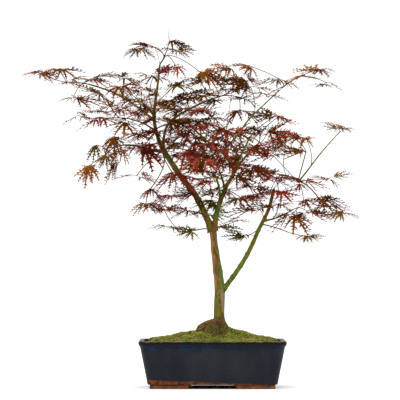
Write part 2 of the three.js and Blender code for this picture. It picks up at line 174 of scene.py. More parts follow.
# Places of the Mix node's colour sockets among those for all its kinds of data.
MIX = {"factor": 0, "first": 6, "second": 7, "result": 2}


def finish(name, roughness=0.6, **plain):
    """A material with one Principled shader, and its tree, shader and Object coordinates."""
    material = bpy.data.materials.new(name)
    material.use_nodes = True
    tree = material.node_tree
    shader = tree.nodes["Principled BSDF"]
    shader.inputs["Roughness"].default_value = roughness
    for key, value in plain.items():
        shader.inputs[key.replace("_", " ")].default_value = value
    place = add(tree, "ShaderNodeTexCoord").outputs["Object"]
    return material, tree, shader, place


def mix_colour(tree, share, first, second):
    """The first colour where the share is 0 and the second where it is 1."""
    inputs = {MIX["factor"]: share, MIX["first"]: first, MIX["second"]: second}
    return add(tree, "ShaderNodeMix", inputs, data_type="RGBA", clamp_factor=True).outputs[MIX["result"]]


def two_tones(tree, share, codes):
    """A mix of two plain colours."""
    return mix_colour(tree, share, colour(codes[0]), colour(codes[1]))


def math_node(tree, operation, first, second=0.0):
    """The result of one operation on two values."""
    return add(tree, "ShaderNodeMath", {0: first, 1: second}, operation=operation).outputs[0]


def ramp(tree, value, low, high):
    """0 below low and 1 above high, with a smooth change between."""
    inputs = {"Value": value, "From Min": low, "From Max": high}
    return add(tree, "ShaderNodeMapRange", inputs, interpolation_type="SMOOTHSTEP").outputs["Result"]


def mottle_group():
    """Uneven patches, from 0 to 1, of a given size on a surface."""
    group = bpy.data.node_groups.new("mottle", "ShaderNodeTree")
    group.interface.new_socket("Vector", in_out="INPUT", socket_type="NodeSocketVector")
    for label, value in (("Scale", 40.0), ("Detail", 3.0), ("From", 0.4), ("To", 0.6)):
        socket = group.interface.new_socket(label, in_out="INPUT", socket_type="NodeSocketFloat")
        socket.default_value = value
    group.interface.new_socket("Mask", in_out="OUTPUT", socket_type="NodeSocketFloat")
    entry = add(group, "NodeGroupInput").outputs
    leave = add(group, "NodeGroupOutput")
    inputs = {"Vector": entry["Vector"], "Scale": entry["Scale"], "Detail": entry["Detail"]}
    patches = add(group, "ShaderNodeTexNoise", inputs).outputs["Fac"]
    group.links.new(ramp(group, patches, entry["From"], entry["To"]), leave.inputs["Mask"])
    return group


MOTTLE = mottle_group()


def mottle(tree, place, patches):
    """A mask of uneven patches, from their scale, start, fullness and detail."""
    inputs = {"Vector": place} | dict(zip(("Scale", "From", "To", "Detail"), patches))
    return add(tree, "ShaderNodeGroup", inputs, node_tree=MOTTLE).outputs["Mask"]


def bump(tree, shader, height, strength, distance):
    """Fine relief from a height pattern."""
    inputs = {"Height": height, "Strength": strength, "Distance": distance}
    tree.links.new(add(tree, "ShaderNodeBump", inputs).outputs["Normal"], shader.inputs["Normal"])


def stretched(tree, place, x, y, z):
    """Object coordinates drawn out along an axis: a small factor makes a long pattern."""
    return add(tree, "ShaderNodeMapping", {"Vector": place, "Scale": (x, y, z)}).outputs["Vector"]


def glaze():
    """The glaze's colours from the foot to the rim, its dull patches, and its ripples."""
    material, tree, shader, place = finish(
        "blue_black_glaze", 0.3, Coat_Roughness=0.12, Specular_IOR_Level=0.1)
    split = add(tree, "ShaderNodeSeparateXYZ", {"Vector": place})
    height, across = split.outputs["Z"], split.outputs["X"]
    runs = stretched(tree, place, 1.0, 1.0, 0.35)
    patches = {
        name: mottle(tree, runs if name in ("body", "drift", "wave") else place, values)
        for name, values in GLAZE_PATCHES.items()}

    body = two_tones(tree, patches["body"], GLAZE_COLOURS["body"])
    drift = math_node(tree, "MULTIPLY", patches["drift"], GLAZE_EDGES["navy_drift"])
    navy = ramp(tree, math_node(tree, "ADD", height, drift), *GLAZE_BANDS["navy"])
    middle, half = POT_MIDDLE[0], GLAZE_EDGES["pools_turn"]
    to_right = ramp(tree, across, middle - half, middle + half)
    pool = two_tones(tree, to_right, (GLAZE_COLOURS["pool_left"], GLAZE_COLOURS["pool_right"]))
    pooled = mix_colour(tree, patches["pools"], colour(GLAZE_COLOURS["round_pools"]), pool)
    body = mix_colour(tree, navy, body, pooled)

    wander = math_node(tree, "MULTIPLY", patches["wander"], GLAZE_EDGES["wander"])
    lifted = math_node(tree, "ADD", height, wander)
    body = mix_colour(tree, ramp(tree, lifted, *GLAZE_BANDS["line"]), body, colour(GLAZE_COLOURS["line"]))
    specks = math_node(tree, "MULTIPLY", patches["specks"], GLAZE_SHEEN["specks"])
    body = mix_colour(tree, specks, body, colour(GLAZE_COLOURS["speck"]))
    thin = two_tones(tree, patches["rim"], GLAZE_COLOURS["rim"])
    body = mix_colour(tree, ramp(tree, lifted, *GLAZE_BANDS["rim"]), body, thin)

    slope = math_node(tree, "MULTIPLY", math_node(tree, "SUBTRACT", across, middle), FOOT_LINE["slope"])
    wave = math_node(tree, "MULTIPLY", patches["wave"], FOOT_LINE["wave"])
    line = math_node(tree, "SUBTRACT", math_node(tree, "ADD", wave, FOOT_LINE["height"]), slope)
    glazed = ramp(tree, math_node(tree, "SUBTRACT", height, line), 0.0, FOOT_LINE["edge"])
    bare = two_tones(tree, patches["bare"], GLAZE_COLOURS["bare"])
    tree.links.new(mix_colour(tree, glazed, bare, body), shader.inputs["Base Color"])

    dull = math_node(tree, "MULTIPLY", patches["dull"], GLAZE_SHEEN["dull"])
    smooth = math_node(tree, "ADD", dull, GLAZE_SHEEN["smooth"])
    rough = add(tree, "ShaderNodeMix", {0: glazed, 2: GLAZE_SHEEN["bare"], 3: smooth}).outputs[0]
    tree.links.new(rough, shader.inputs["Roughness"])
    tree.links.new(math_node(tree, "MULTIPLY", glazed, GLAZE_SHEEN["coat"]), shader.inputs["Coat Weight"])
    ripple = add(tree, "ShaderNodeTexNoise", {"Vector": runs, "Scale": 48.0, "Detail": 2.0}).outputs["Fac"]
    grit = add(tree, "ShaderNodeTexNoise", {"Vector": place, "Scale": 900.0}).outputs["Fac"]
    coarse = math_node(tree, "MULTIPLY", grit, math_node(tree, "SUBTRACT", 1.15, glazed))
    bump(tree, shader, math_node(tree, "ADD", ripple, coarse), 0.35, 0.0012)
    return material


def glazed_pot():
    """Stacked rings from the underside over the lip to the inner floor, drilled for drainage."""
    rings = [rounded_ring(POT["width"] - inset, POT["depth"] - inset, radius, z)
             for inset, radius, z in POT_PROFILE]
    around = len(rings[0])
    faces = ring_faces(len(rings), around)
    faces.append(tuple(reversed(range(around))))
    top = (len(rings) - 1) * around
    faces.append(tuple(range(top, top + around)))
    pot = piece_from("pot_glazed", np.concatenate(rings), faces, [glaze()])
    outward(pot)
    for side in (-1, 1):
        spot = np.array([side * DRAIN_HOLES["spread"], 0, DRAIN_HOLES["middle"]]) * MM + POT_MIDDLE
        bpy.ops.mesh.primitive_cylinder_add(
            vertices=DRAIN_HOLES["sides"], radius=DRAIN_HOLES["radius"] * MM,
            depth=DRAIN_HOLES["length"] * MM, location=spot)
        drill = bpy.context.object
        cut = pot.modifiers.new("drain", "BOOLEAN")
        cut.operation = "DIFFERENCE"
        cut.solver = "EXACT"
        cut.object = drill
        applied(pot)
        bpy.data.objects.remove(drill)
    smooth_by_angle(pot, POT_CREASE)
    settle(pot, "pot_glaze", "pot_body")


def applied(piece):
    """Turns a piece's modifiers into plain mesh."""
    graph = bpy.context.evaluated_depsgraph_get()
    mesh = bpy.data.meshes.new_from_object(piece.evaluated_get(graph))
    piece.modifiers.clear()
    piece.data = mesh
    mesh.name = piece.name


def smooth_by_angle(piece, degrees):
    """Smooth shading with sharp edges where faces meet at more than the angle."""
    piece.data.polygons.foreach_set("use_smooth", np.ones(len(piece.data.polygons), bool))
    piece.data.set_sharp_from_angle(angle=math.radians(degrees))


glazed_pot()

# ---- Pot feet ------------------------------------------------------------------------------
# Four L-shaped feet of the same clay, left unglazed and fired red-brown, with edges worn round.

FOOT_NODES = ["pot_foot_front_left", "pot_foot_front_right", "pot_foot_back_left", "pot_foot_back_right"]
FOOT_EDGE = 1.3  # rounding of the edges
FOOT_CREASE = 35  # degrees past which an edge stays sharp
CLAY = {
    "tones": ("5c2a12", "7e3f1d"), "patches": (70.0, 0.38, 0.62, 4.0),
    "scorched": "33201a", "scorches": (38.0, 0.52, 0.66, 5.0),
}


def fired_clay():
    """Red-brown clay, scorched in places, with a fine grit."""
    material, tree, shader, place = finish("fired_clay", 0.85)
    body = two_tones(tree, mottle(tree, place, CLAY["patches"]), CLAY["tones"])
    body = mix_colour(tree, mottle(tree, place, CLAY["scorches"]), body, colour(CLAY["scorched"]))
    tree.links.new(body, shader.inputs["Base Color"])
    grit = add(tree, "ShaderNodeTexNoise", {"Vector": place, "Scale": 700.0, "Detail": 4.0}).outputs["Fac"]
    bump(tree, shader, grit, 0.6, 0.0008)
    return material


def pot_feet():
    """The four feet of the frame as one piece, with worn edges."""
    shape = bmesh.new()
    for node in FOOT_NODES:
        shape.from_mesh(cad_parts[node].data)
    mesh = bpy.data.meshes.new("pot_feet")
    bmesh.ops.remove_doubles(shape, verts=shape.verts, dist=SAME_POINT)
    bmesh.ops.dissolve_limit(shape, angle_limit=math.radians(1), verts=shape.verts, edges=shape.edges)
    shape.to_mesh(mesh)
    shape.free()
    feet = bpy.data.objects.new("pot_feet", mesh)
    bpy.context.scene.collection.objects.link(feet)
    mesh.materials.clear()
    mesh.materials.append(fired_clay())
    mesh.polygons.foreach_set("material_index", np.zeros(len(mesh.polygons), np.int32))
    worn = feet.modifiers.new("worn_edges", "BEVEL")
    worn.width = FOOT_EDGE * MM
    worn.segments = 3
    worn.limit_method = "ANGLE"
    applied(feet)
    smooth_by_angle(feet, FOOT_CREASE)
    settle(feet, "pot_clay", *FOOT_NODES)


pot_feet()

# ---- Soil ----------------------------------------------------------------------------------
# A dark, moist, gritty bonsai soil fills the pot to just under the rim. It shows as loose crumbs
# in the band between the moss and the pot's wall.

SOIL_TOP = 74.0
SOIL = {"tones": ("17100b", "3b2a1c"), "patches": (300.0, 0.3, 0.7, 3.0)}
CRUMBS = {"density": 0.33, "small": 0.45, "large": 1.5, "patchy": 0.3, "seed": 5}  # per mm2, radii in mm
CRUMB_TONES = {"dark": "1d150f", "brown": "3d2b1d"}
# The strip between the moss and the wall that carries the crumbs.
STRIP = {"around": 240, "under_moss": 0.97, "inset": 21.0, "corner": 9.5, "lift": 0.2}
PER_SQUARE_METRE = 1e6  # a count per square millimetre becomes one per square metre


def damp_soil():
    """Dark earth with a coarse grain."""
    material, tree, shader, place = finish("damp_soil", 0.95)
    grains = add(tree, "ShaderNodeTexVoronoi", {"Vector": place, "Scale": 420.0})
    earth = two_tones(tree, mottle(tree, place, SOIL["patches"]), SOIL["tones"])
    tree.links.new(earth, shader.inputs["Base Color"])
    bump(tree, shader, grains.outputs["Distance"], 0.8, 0.002)
    return material


def plain_finish(name, code, roughness, gloss=0.5):
    """One colour, for shapes so small that they make the pattern themselves."""
    material, tree, shader, place = finish(name, roughness, Specular_IOR_Level=gloss)
    tree.nodes.remove(place.node)
    shader.inputs["Base Color"].default_value = colour(code)
    return material


def moss_reach(angle):
    """Half-length of the moss cushion's outline at an angle, as shares of its two half-sizes."""
    power = MOSS["squareness"]
    square = (np.abs(np.cos(angle)) ** power + np.abs(np.sin(angle)) ** power) ** (-1 / power)
    waves = sum(deep * np.sin(count * angle + start) for count, deep, start in MOSS["edge_waves"])
    return square * (1 + waves)


# The moss cushion's half-sizes, heights above the soil, and the wavy square of its outline.
MOSS = {
    "half_width": 106.0, "half_depth": 71.0, "edge": 5.0, "peak": 29.0, "centre": 11.0,
    "front_hollow": 3.5, "lies": 0.3, "sunk": 2.2, "fall": 1.1, "skirt": 0.035,
    "squareness": 3.0, "edge_waves": [(5, 0.035, 1.0), (9, 0.025, 2.3), (23, 0.012, 0.4)],
}


# Where strewn shapes stand thick and thin: the noise where they start and where they are thickest.
THICKETS = {"scale": 70.0, "detail": 2.0, "bare": 0.42, "full": 0.62, "thickest": 2.0, "next": 3.7}
SEED_STEP = 11.0  # between the seeds of two shapes strewn together


def thickness(tree, density, patchy, order):
    """The density of one shape over the surface, from even to gathered in thickets."""
    noise_inputs = {"Scale": THICKETS["scale"], "Detail": THICKETS["detail"], "W": order * THICKETS["next"]}
    field = add(tree, "ShaderNodeTexNoise", noise_inputs, noise_dimensions="4D").outputs["Fac"]
    here = add(tree, "ShaderNodeMapRange", {
        "Value": field, "From Min": THICKETS["bare"], "From Max": THICKETS["full"],
        "To Max": THICKETS["thickest"]}).outputs["Result"]
    even = add(tree, "ShaderNodeMix", {0: patchy, 2: 1.0, 3: here}).outputs[0]
    return math_node(tree, "MULTIPLY", density, even)


def any_turn(tree, lean, seed):
    """A turn all round, with a lean to any side."""
    other_way = math_node(tree, "MULTIPLY", lean, -1.0)
    low = add(tree, "ShaderNodeCombineXYZ", {"X": other_way, "Y": other_way, "Z": -math.pi}).outputs[0]
    high = add(tree, "ShaderNodeCombineXYZ", {"X": lean, "Y": lean, "Z": math.pi}).outputs[0]
    inputs = {"Seed": seed, 0: low, 1: high}
    return add(tree, "FunctionNodeRandomValue", inputs, data_type="FLOAT_VECTOR").outputs[0]


def scatter_tree(name, shapes):
    """Geometry Nodes that strew small shapes over a surface, one material for each shape."""
    tree = bpy.data.node_groups.new(name, "GeometryNodeTree")
    tree.interface.new_socket("Geometry", in_out="INPUT", socket_type="NodeSocketGeometry")
    for label in ("Density", "Patchy", "Smallest", "Largest", "Lean"):
        tree.interface.new_socket(label, in_out="INPUT", socket_type="NodeSocketFloat")
    tree.interface.new_socket("Seed", in_out="INPUT", socket_type="NodeSocketInt")
    tree.interface.new_socket("Geometry", in_out="OUTPUT", socket_type="NodeSocketGeometry")
    entry = add(tree, "NodeGroupInput").outputs
    gathered = add(tree, "GeometryNodeJoinGeometry")
    for order, (shape, material) in enumerate(shapes):
        seed = math_node(tree, "ADD", entry["Seed"], order * SEED_STEP)
        thick = thickness(tree, entry["Density"], entry["Patchy"], order)
        spots = add(tree, "GeometryNodeDistributePointsOnFaces", {
            "Mesh": entry["Geometry"], "Density": thick, "Seed": seed})
        source = add(tree, "GeometryNodeObjectInfo", {"Object": shape}).outputs["Geometry"]
        inputs = {"Seed": seed, 2: entry["Smallest"], 3: entry["Largest"]}
        size = add(tree, "FunctionNodeRandomValue", inputs, data_type="FLOAT").outputs[1]
        strewn = add(tree, "GeometryNodeInstanceOnPoints", {
            "Points": spots.outputs["Points"], "Instance": source, "Scale": size})
        turned = add(tree, "GeometryNodeRotateInstances", {
            "Instances": strewn.outputs[0], "Rotation": any_turn(tree, entry["Lean"], seed)}).outputs[0]
        solid = add(tree, "GeometryNodeRealizeInstances", {0: turned}).outputs[0]
        coloured = add(tree, "GeometryNodeSetMaterial", {"Geometry": solid, "Material": material})
        tree.links.new(coloured.outputs[0], gathered.inputs[0])
    leave = add(tree, "NodeGroupOutput")
    tree.links.new(gathered.outputs[0], leave.inputs[0])
    return tree


def grown_from(piece, tree, values):
    """Runs a Geometry Nodes tree on a piece and keeps the result as plain mesh."""
    modifier = piece.modifiers.new("grown", "NODES")
    modifier.node_group = tree
    for item in tree.interface.items_tree:
        if item.in_out == "INPUT" and item.name in values:
            modifier[item.identifier] = values[item.name]
    applied(piece)


def source_object(name, shape):
    """A small source shape for strewing, out of sight and outside the scene."""
    mesh = bpy.data.meshes.new(name)
    shape.to_mesh(mesh)
    shape.free()
    return bpy.data.objects.new(name, mesh)


def crumb():
    """A lump of earth, one millimetre in radius."""
    shape = bmesh.new()
    bmesh.ops.create_icosphere(shape, subdivisions=1, radius=MM)
    for vertex in shape.verts:
        vertex.co *= 1 + 0.5 * noise.noise(vertex.co * 900)
    return source_object("crumb_source", shape)


def soil_strip():
    """A level strip from under the moss's edge to the pot's wall."""
    angles = np.linspace(0, 2 * math.pi, STRIP["around"], endpoint=False)
    half_width, half_depth = MOSS["half_width"], MOSS["half_depth"]
    reach = STRIP["under_moss"] * moss_reach(angles)
    inner = np.column_stack([half_width * reach * np.cos(angles), half_depth * reach * np.sin(angles)])
    size = POT["width"] - STRIP["inset"], POT["depth"] - STRIP["inset"]
    wall = rounded_ring(*size, STRIP["corner"], 0, corner_steps=12, side_steps=20)[:, :2]
    wall_angles = np.arctan2(wall[:, 1] / half_depth, wall[:, 0] / half_width)
    off = np.abs((wall_angles - angles[:, None] + math.pi) % (2 * math.pi) - math.pi)
    outer = wall[np.argmin(off, axis=1)]
    level = np.full(STRIP["around"], SOIL_TOP + STRIP["lift"])
    return np.concatenate([np.column_stack([ring, level]) for ring in (outer, inner)])


def soil_and_crumbs():
    """The frame's own soil with an earth finish, and loose crumbs over its edge."""
    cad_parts["soil"].material_slots[0].material = damp_soil()
    crumbs = piece_from("soil_crumbs", soil_strip(), ring_faces(2, STRIP["around"]), [])
    lump = crumb()
    tree = scatter_tree("strewn_crumbs", [
        (lump, plain_finish("crumb_" + name, code, 0.95)) for name, code in CRUMB_TONES.items()])
    grown_from(crumbs, tree, {
        "Density": CRUMBS["density"] * PER_SQUARE_METRE / len(CRUMB_TONES), "Patchy": CRUMBS["patchy"],
        "Smallest": CRUMBS["small"], "Largest": CRUMBS["large"], "Lean": math.pi, "Seed": CRUMBS["seed"]})
    settle(crumbs, "soil")


soil_and_crumbs()

# ---- Moss ----------------------------------------------------------------------------------
# A living cushion of yellow-green moss laid over the soil, highest round the trunk's foot. It is
# many small round cushions grown together, covered with short upright shoots.

CUSHIONS = {"count": 620, "radius": 8.0, "height": 4.2, "vary": (0.6, 1.25), "spread": 1.05}
CUSHION_SEED = 21
SHOOTS = {"density": 0.36, "small": 0.6, "large": 1.5, "patchy": 1.0, "lean": 0.6, "seed": 3}
SHOOT = {"radius": 0.34, "length": 2.0, "lift": 0.7}
MOSS_RINGS = {"around": 300, "levels": 64, "innermost": 0.04, "crowding": 1.1}
# The random dark patches are painted shade for the hollows between the cushions: deep is its colour and
# depth its strength.
MOSS_TONES = {
    "patches": (55.0, 0.35, 0.65, 4.0), "greens": ("5c640c", "7e7a12"),
    "painted_shade": (190.0, 0.42, 0.56, 3.0), "deep": "1e1c08", "depth": 0.9,
}
# The bright and deep shoots are lit and shaded copies of the moss green, a painted highlight and painted
# shade dealt at random; mid and tan are the moss's own tones.
SHOOT_TONES = {"bright": "a4aa14", "mid": "7c8810", "deep": "3e460c", "tan": "9c8c34"}


def living_moss():
    """Two yellow-greens, with painted shade in random dark patches that stand for the hollows between
    cushions, and a fine fuzz.
    """
    material, tree, shader, place = finish("living_moss", 0.95)
    green = two_tones(tree, mottle(tree, place, MOSS_TONES["patches"]), MOSS_TONES["greens"])
    # Painted shade: dark patches at random, where shade would fall between cushions.
    painted_shade = math_node(tree, "MULTIPLY", mottle(tree, place, MOSS_TONES["painted_shade"]), MOSS_TONES["depth"])
    green = mix_colour(tree, painted_shade, green, colour(MOSS_TONES["deep"]))
    tree.links.new(green, shader.inputs["Base Color"])
    fuzz = add(tree, "ShaderNodeTexNoise", {"Vector": place, "Scale": 900.0, "Detail": 4.0}).outputs["Fac"]
    bump(tree, shader, fuzz, 0.9, 0.0015)
    return material


def moss_height(points, rng):
    """How far the small cushions lift the surface at each point."""
    middles = np.column_stack([
        rng.uniform(-1, 1, CUSHIONS["count"]) * half * CUSHIONS["spread"]
        for half in (MOSS["half_width"], MOSS["half_depth"])])
    sizes = CUSHIONS["radius"] * rng.uniform(*CUSHIONS["vary"], CUSHIONS["count"])
    lift = np.zeros(len(points))
    for middle, size in zip(middles, sizes):
        away = np.hypot(*(points - middle).T) / size
        lift = np.maximum(lift, np.sqrt(np.clip(1 - away ** 2, 0, 1)) * size / CUSHIONS["radius"])
    return CUSHIONS["height"] * lift


def moss_surface():
    """Rings from the moss's edge to its middle, each lifted by the small cushions."""
    angles = np.linspace(0, 2 * math.pi, MOSS_RINGS["around"], endpoint=False)
    reach = moss_reach(angles)
    rings = []
    for share in np.linspace(1, MOSS_RINGS["innermost"], MOSS_RINGS["levels"]) ** MOSS_RINGS["crowding"]:
        x = MOSS["centre"] * (1 - share) + MOSS["half_width"] * share * reach * np.cos(angles)
        y = MOSS["half_depth"] * share * reach * np.sin(angles)
        fall = MOSS["fall"] + MOSS["front_hollow"] * np.clip(-np.sin(angles), 0, 1) ** 2
        rise = MOSS["edge"] + (MOSS["peak"] - MOSS["edge"]) * (1 - share) ** fall
        skirt = min(1.0, (1 - share) / MOSS["skirt"]) ** 0.5
        ring = np.column_stack([x, y])
        cushions = moss_height(ring, np.random.default_rng(CUSHION_SEED))
        lift = (rise - MOSS["sunk"] + cushions) * skirt
        rings.append(np.column_stack([ring, SOIL_TOP + MOSS["lies"] + lift]))
    return np.concatenate(rings)


def moss_shoot():
    """A four-sided pointed shoot without a base."""
    shape = bmesh.new()
    bmesh.ops.create_cone(
        shape, segments=4, radius1=SHOOT["radius"] * MM, radius2=0.0, depth=SHOOT["length"] * MM,
        cap_ends=False)
    bmesh.ops.translate(shape, vec=(0, 0, SHOOT["lift"] * MM), verts=shape.verts)
    return source_object("shoot_source", shape)


def moss():
    """The closed cushion, and shoots strewn over its upper side."""
    around, levels = MOSS_RINGS["around"], MOSS_RINGS["levels"]
    points = moss_surface()
    skin = ring_faces(levels, around)
    top = tuple(range((levels - 1) * around, levels * around))
    underside = tuple(reversed(range(around)))
    cushion = piece_from("moss_cushion", points, skin + [top, underside], [living_moss()])
    outward(cushion)
    settle(cushion, "moss", "moss_mound")

    shoots = piece_from("moss_shoots", points, skin, [])
    source = moss_shoot()
    tree = scatter_tree("strewn_shoots", [
        (source, plain_finish("moss_" + name, code, 0.9)) for name, code in SHOOT_TONES.items()])
    grown_from(shoots, tree, {
        "Density": SHOOTS["density"] * PER_SQUARE_METRE / len(SHOOT_TONES), "Patchy": SHOOTS["patchy"],
        "Smallest": SHOOTS["small"], "Largest": SHOOTS["large"], "Lean": SHOOTS["lean"],
        "Seed": SHOOTS["seed"]})
    settle(shoots, "moss")


moss()

# ---- Trunk ---------------------------------------------------------------------------------
# One stem rises from a flare of surface roots, leans a little left, and forks at 270 mm. Its
# young bark is tan on the left, green on the right, and rusty, mossy and furrowed at the foot.
# Up the stem the tan and green are partly its own tones and partly painted light on the left
# and painted shade on the right.

# Height, wander in X and Y, and radius.
TRUNK_STATIONS = np.array([
    (74.3, 12, 0, 11.5), (84, 12, 0, 10.6), (95, 12, 0, 10), (106, 11.8, 0, 9.6), (118, 11.6, 0, 9.3),
    (142, 12, 0.5, 9.1), (167, 12.4, 1, 8.8), (193, 9.4, 1.5, 7.8), (219, 6, 1, 6.8), (245, 2.8, 0.5, 6),
    (260, 1.6, 0, 6.2), (272, 0.4, 0, 6.3), (280, -1, 0.3, 4.6),
])
# Surface roots: heading in degrees, reach beyond the trunk, width of the ridge, and shoulder.
ROOTS = [(184, 30, 26, 5.5), (236, 14, 24, 1.3), (300, 12, 22, 1.2), (350, 15, 26, 1), (95, 14, 30, 1.2)]
FLARE_TOP = 116.0
SHORTEST = 1e-6  # a length below this counts as this
FINE_STEPS = 24  # points on a curve between two given ones, before it is spaced evenly


def between(first, second, start, end, t):
    """What lies between two points where t runs from start to end."""
    return (end - t) / (end - start) * first + (t - start) / (end - start) * second


def smooth_path(points, step):
    """Points at even steps along a centripetal Catmull-Rom curve, with any further columns."""
    points = np.asarray(points, float)
    padded = np.vstack([2 * points[0] - points[1], points, 2 * points[-1] - points[-2]])
    dense = []
    for k in range(1, len(padded) - 2):
        p0, p1, p2, p3 = padded[k - 1:k + 3]
        knots = [0.0]
        for a, b in ((p0, p1), (p1, p2), (p2, p3)):
            knots.append(knots[-1] + max(np.linalg.norm((b - a)[:3]), SHORTEST) ** 0.5)
        t = np.linspace(knots[1], knots[2], FINE_STEPS, endpoint=False)[:, None]
        a1 = between(p0, p1, knots[0], knots[1], t)
        a2 = between(p1, p2, knots[1], knots[2], t)
        a3 = between(p2, p3, knots[2], knots[3], t)
        b1 = between(a1, a2, knots[0], knots[2], t)
        b2 = between(a2, a3, knots[1], knots[3], t)
        dense.append(between(b1, b2, knots[1], knots[2], t))
    dense = np.vstack(dense + [points[-1:]])
    run = np.concatenate([[0], np.cumsum(np.linalg.norm(np.diff(dense[:, :3], axis=0), axis=1))])
    count = max(3, int(round(run[-1] / step)) + 1)
    even = np.linspace(0, run[-1], count)
    return np.column_stack([np.interp(even, run, column) for column in dense.T]), even


SEED_SHIFT = (3.1, 1.7, 0.9)  # how far each seed moves the noise of the relief
FRACTAL = {"dimension": 0.9, "step": 2.1, "octaves": 4}


def relief(points, along, across, strength, seed):
    """Bark relief at each point: furrows drawn out up the stem."""
    shift = Vector([seed * step for step in SEED_SHIFT])
    return strength * np.array([
        noise.fractal(Vector((p[0] / across, p[1] / across, p[2] / along)) + shift, *FRACTAL.values())
        for p in points])


# Patterns of every young bark, how far two of them are drawn out along the stem, and how strong.
BARK = {
    "patches": (34.0, 0.40, 0.58, 3.0), "streaks": (360.0, 0.42, 0.62, 4.0),
    "flecks": (240.0, 0.55, 0.66, 3.0), "streak_grain": 0.16, "fleck_grain": 0.5, "strength": 0.7,
}
# Metres to the right of the pot's middle where each side's tone starts and is full.
TRUNK_SIDES = {"left": (0.013, 0.008), "right": (0.013, 0.018), "edge": (0.0165, 0.0195)}
# The stem's middle moves to the left with height above a level, and the tones' edges wander.
TRUNK_LEAN = {"level": 0.170, "slope": 0.09, "wander": 0.006, "grain": 0.4}
# Heights in metres where a zone starts and is full.
TRUNK_ZONES = {
    "high": (0.154, 0.174), "top": (0.225, 0.245), "foot": (0.124, 0.112), "mossy": (0.112, 0.099)}
# high_left is partly painted light on the stem's lit left side, and the first of high_right partly painted
# shade on its right side; both are also the bark's own tan and green.
TRUNK_TONES = {
    "bark": ("6c4a1e", "5e5614"), "streaks": "3a240c", "flecks": "7e7e2c",
    "high_left": "a06a3a", "high_right": ("626a26", "76603e"), "low_left": "62600a", "low_edge": "86745a",
    "rust": ("4a260e", "6c4a22"), "cracks": "20120a", "moss": ("2c2408", "566010"),
}
TRUNK_PATCHES = {
    "wander": (90.0, 0.3, 0.7, 3.0), "rust": (150.0, 0.36, 0.6, 4.0), "cracks": (260.0, 0.5, 0.62, 3.0),
    "moss": (110.0, 0.48, 0.6, 4.0), "fibres": (330.0, 0.42, 0.56, 3.0),
}
# Moss climbs the foot furthest at its right, where it is dark and matted with old fibres.
CLIMBING = {"from": -0.014, "to": 0.002, "more": 0.6}
COVER = {"sides": 0.75, "rust": 0.9, "moss": 0.9}  # how much of the bark under it each tone hides


def bark_finish(name, tones, shade, pale):
    """Young bark: patches of two tones, darker streaks that follow the stem, and pale flecks."""
    material, tree, shader, place = finish(name, 0.75, Specular_IOR_Level=0.25)
    tone = two_tones(tree, mottle(tree, place, BARK["patches"]), tones)
    long_grain = stretched(tree, place, 1.0, 1.0, BARK["streak_grain"])
    streaks = math_node(tree, "MULTIPLY", mottle(tree, long_grain, BARK["streaks"]), BARK["strength"])
    tone = mix_colour(tree, streaks, tone, colour(shade))
    short_grain = stretched(tree, place, 1.0, 1.0, BARK["fleck_grain"])
    flecks = math_node(tree, "MULTIPLY", mottle(tree, short_grain, BARK["flecks"]), BARK["strength"])
    tone = mix_colour(tree, flecks, tone, colour(pale))
    grain = add(tree, "ShaderNodeTexNoise", {"Vector": long_grain, "Scale": 700.0, "Detail": 5.0})
    bump(tree, shader, grain.outputs["Fac"], 0.5, 0.0009)
    return material, tree, shader, place, tone


def trunk_bark():
    """Tan (partly painted light) on the left and green (partly painted shade) on the right, olive lower
    down, and rusty and mossy at the foot.
    """
    material, tree, shader, place, tone = bark_finish(
        "trunk_bark", TRUNK_TONES["bark"], TRUNK_TONES["streaks"], TRUNK_TONES["flecks"])
    split = add(tree, "ShaderNodeSeparateXYZ", {"Vector": place})
    across, height = split.outputs["X"], split.outputs["Z"]
    middle = POT_MIDDLE[0]
    patches = {
        name: mottle(tree, place, TRUNK_PATCHES[name]) for name in ("rust", "cracks", "moss", "fibres")}

    below = math_node(tree, "SUBTRACT", TRUNK_LEAN["level"], height)
    lean = math_node(tree, "MULTIPLY", below, TRUNK_LEAN["slope"])
    uneven = mottle(tree, stretched(tree, place, 1.0, 1.0, TRUNK_LEAN["grain"]), TRUNK_PATCHES["wander"])
    wander = math_node(tree, "MULTIPLY", uneven, TRUNK_LEAN["wander"])
    side = math_node(tree, "ADD", math_node(tree, "SUBTRACT", across, lean), wander)
    sides = {
        name: ramp(tree, side, middle + start, middle + full)
        for name, (start, full) in TRUNK_SIDES.items()}
    zones = {name: ramp(tree, height, start, full) for name, (start, full) in TRUNK_ZONES.items()}
    low = math_node(tree, "SUBTRACT", 1.0, zones["high"])
    high_right = two_tones(tree, zones["top"], TRUNK_TONES["high_right"])
    # Up the stem, the left tone is partly painted light and the right tone is partly painted shade.
    for share, zone, side_tone in (
            (sides["left"], zones["high"], colour(TRUNK_TONES["high_left"])),
            (sides["right"], zones["high"], high_right),
            (sides["left"], low, colour(TRUNK_TONES["low_left"])),
            (sides["edge"], low, colour(TRUNK_TONES["low_edge"]))):
        part = math_node(tree, "MULTIPLY", math_node(tree, "MULTIPLY", share, zone), COVER["sides"])
        tone = mix_colour(tree, part, tone, side_tone)

    rust = two_tones(tree, patches["rust"], TRUNK_TONES["rust"])
    rust = mix_colour(tree, patches["cracks"], rust, colour(TRUNK_TONES["cracks"]))
    tone = mix_colour(tree, math_node(tree, "MULTIPLY", zones["foot"], COVER["rust"]), tone, rust)
    to_right = ramp(tree, across, middle + CLIMBING["from"], middle + CLIMBING["to"])
    more = math_node(tree, "MULTIPLY", to_right, CLIMBING["more"])
    matted = math_node(tree, "MINIMUM", math_node(tree, "ADD", patches["moss"], more), 1.0)
    mossy = math_node(tree, "MULTIPLY", matted, zones["mossy"])
    fibres = two_tones(tree, patches["fibres"], TRUNK_TONES["moss"])
    tone = mix_colour(tree, math_node(tree, "MULTIPLY", mossy, COVER["moss"]), tone, fibres)
    tree.links.new(tone, shader.inputs["Base Color"])
    return material


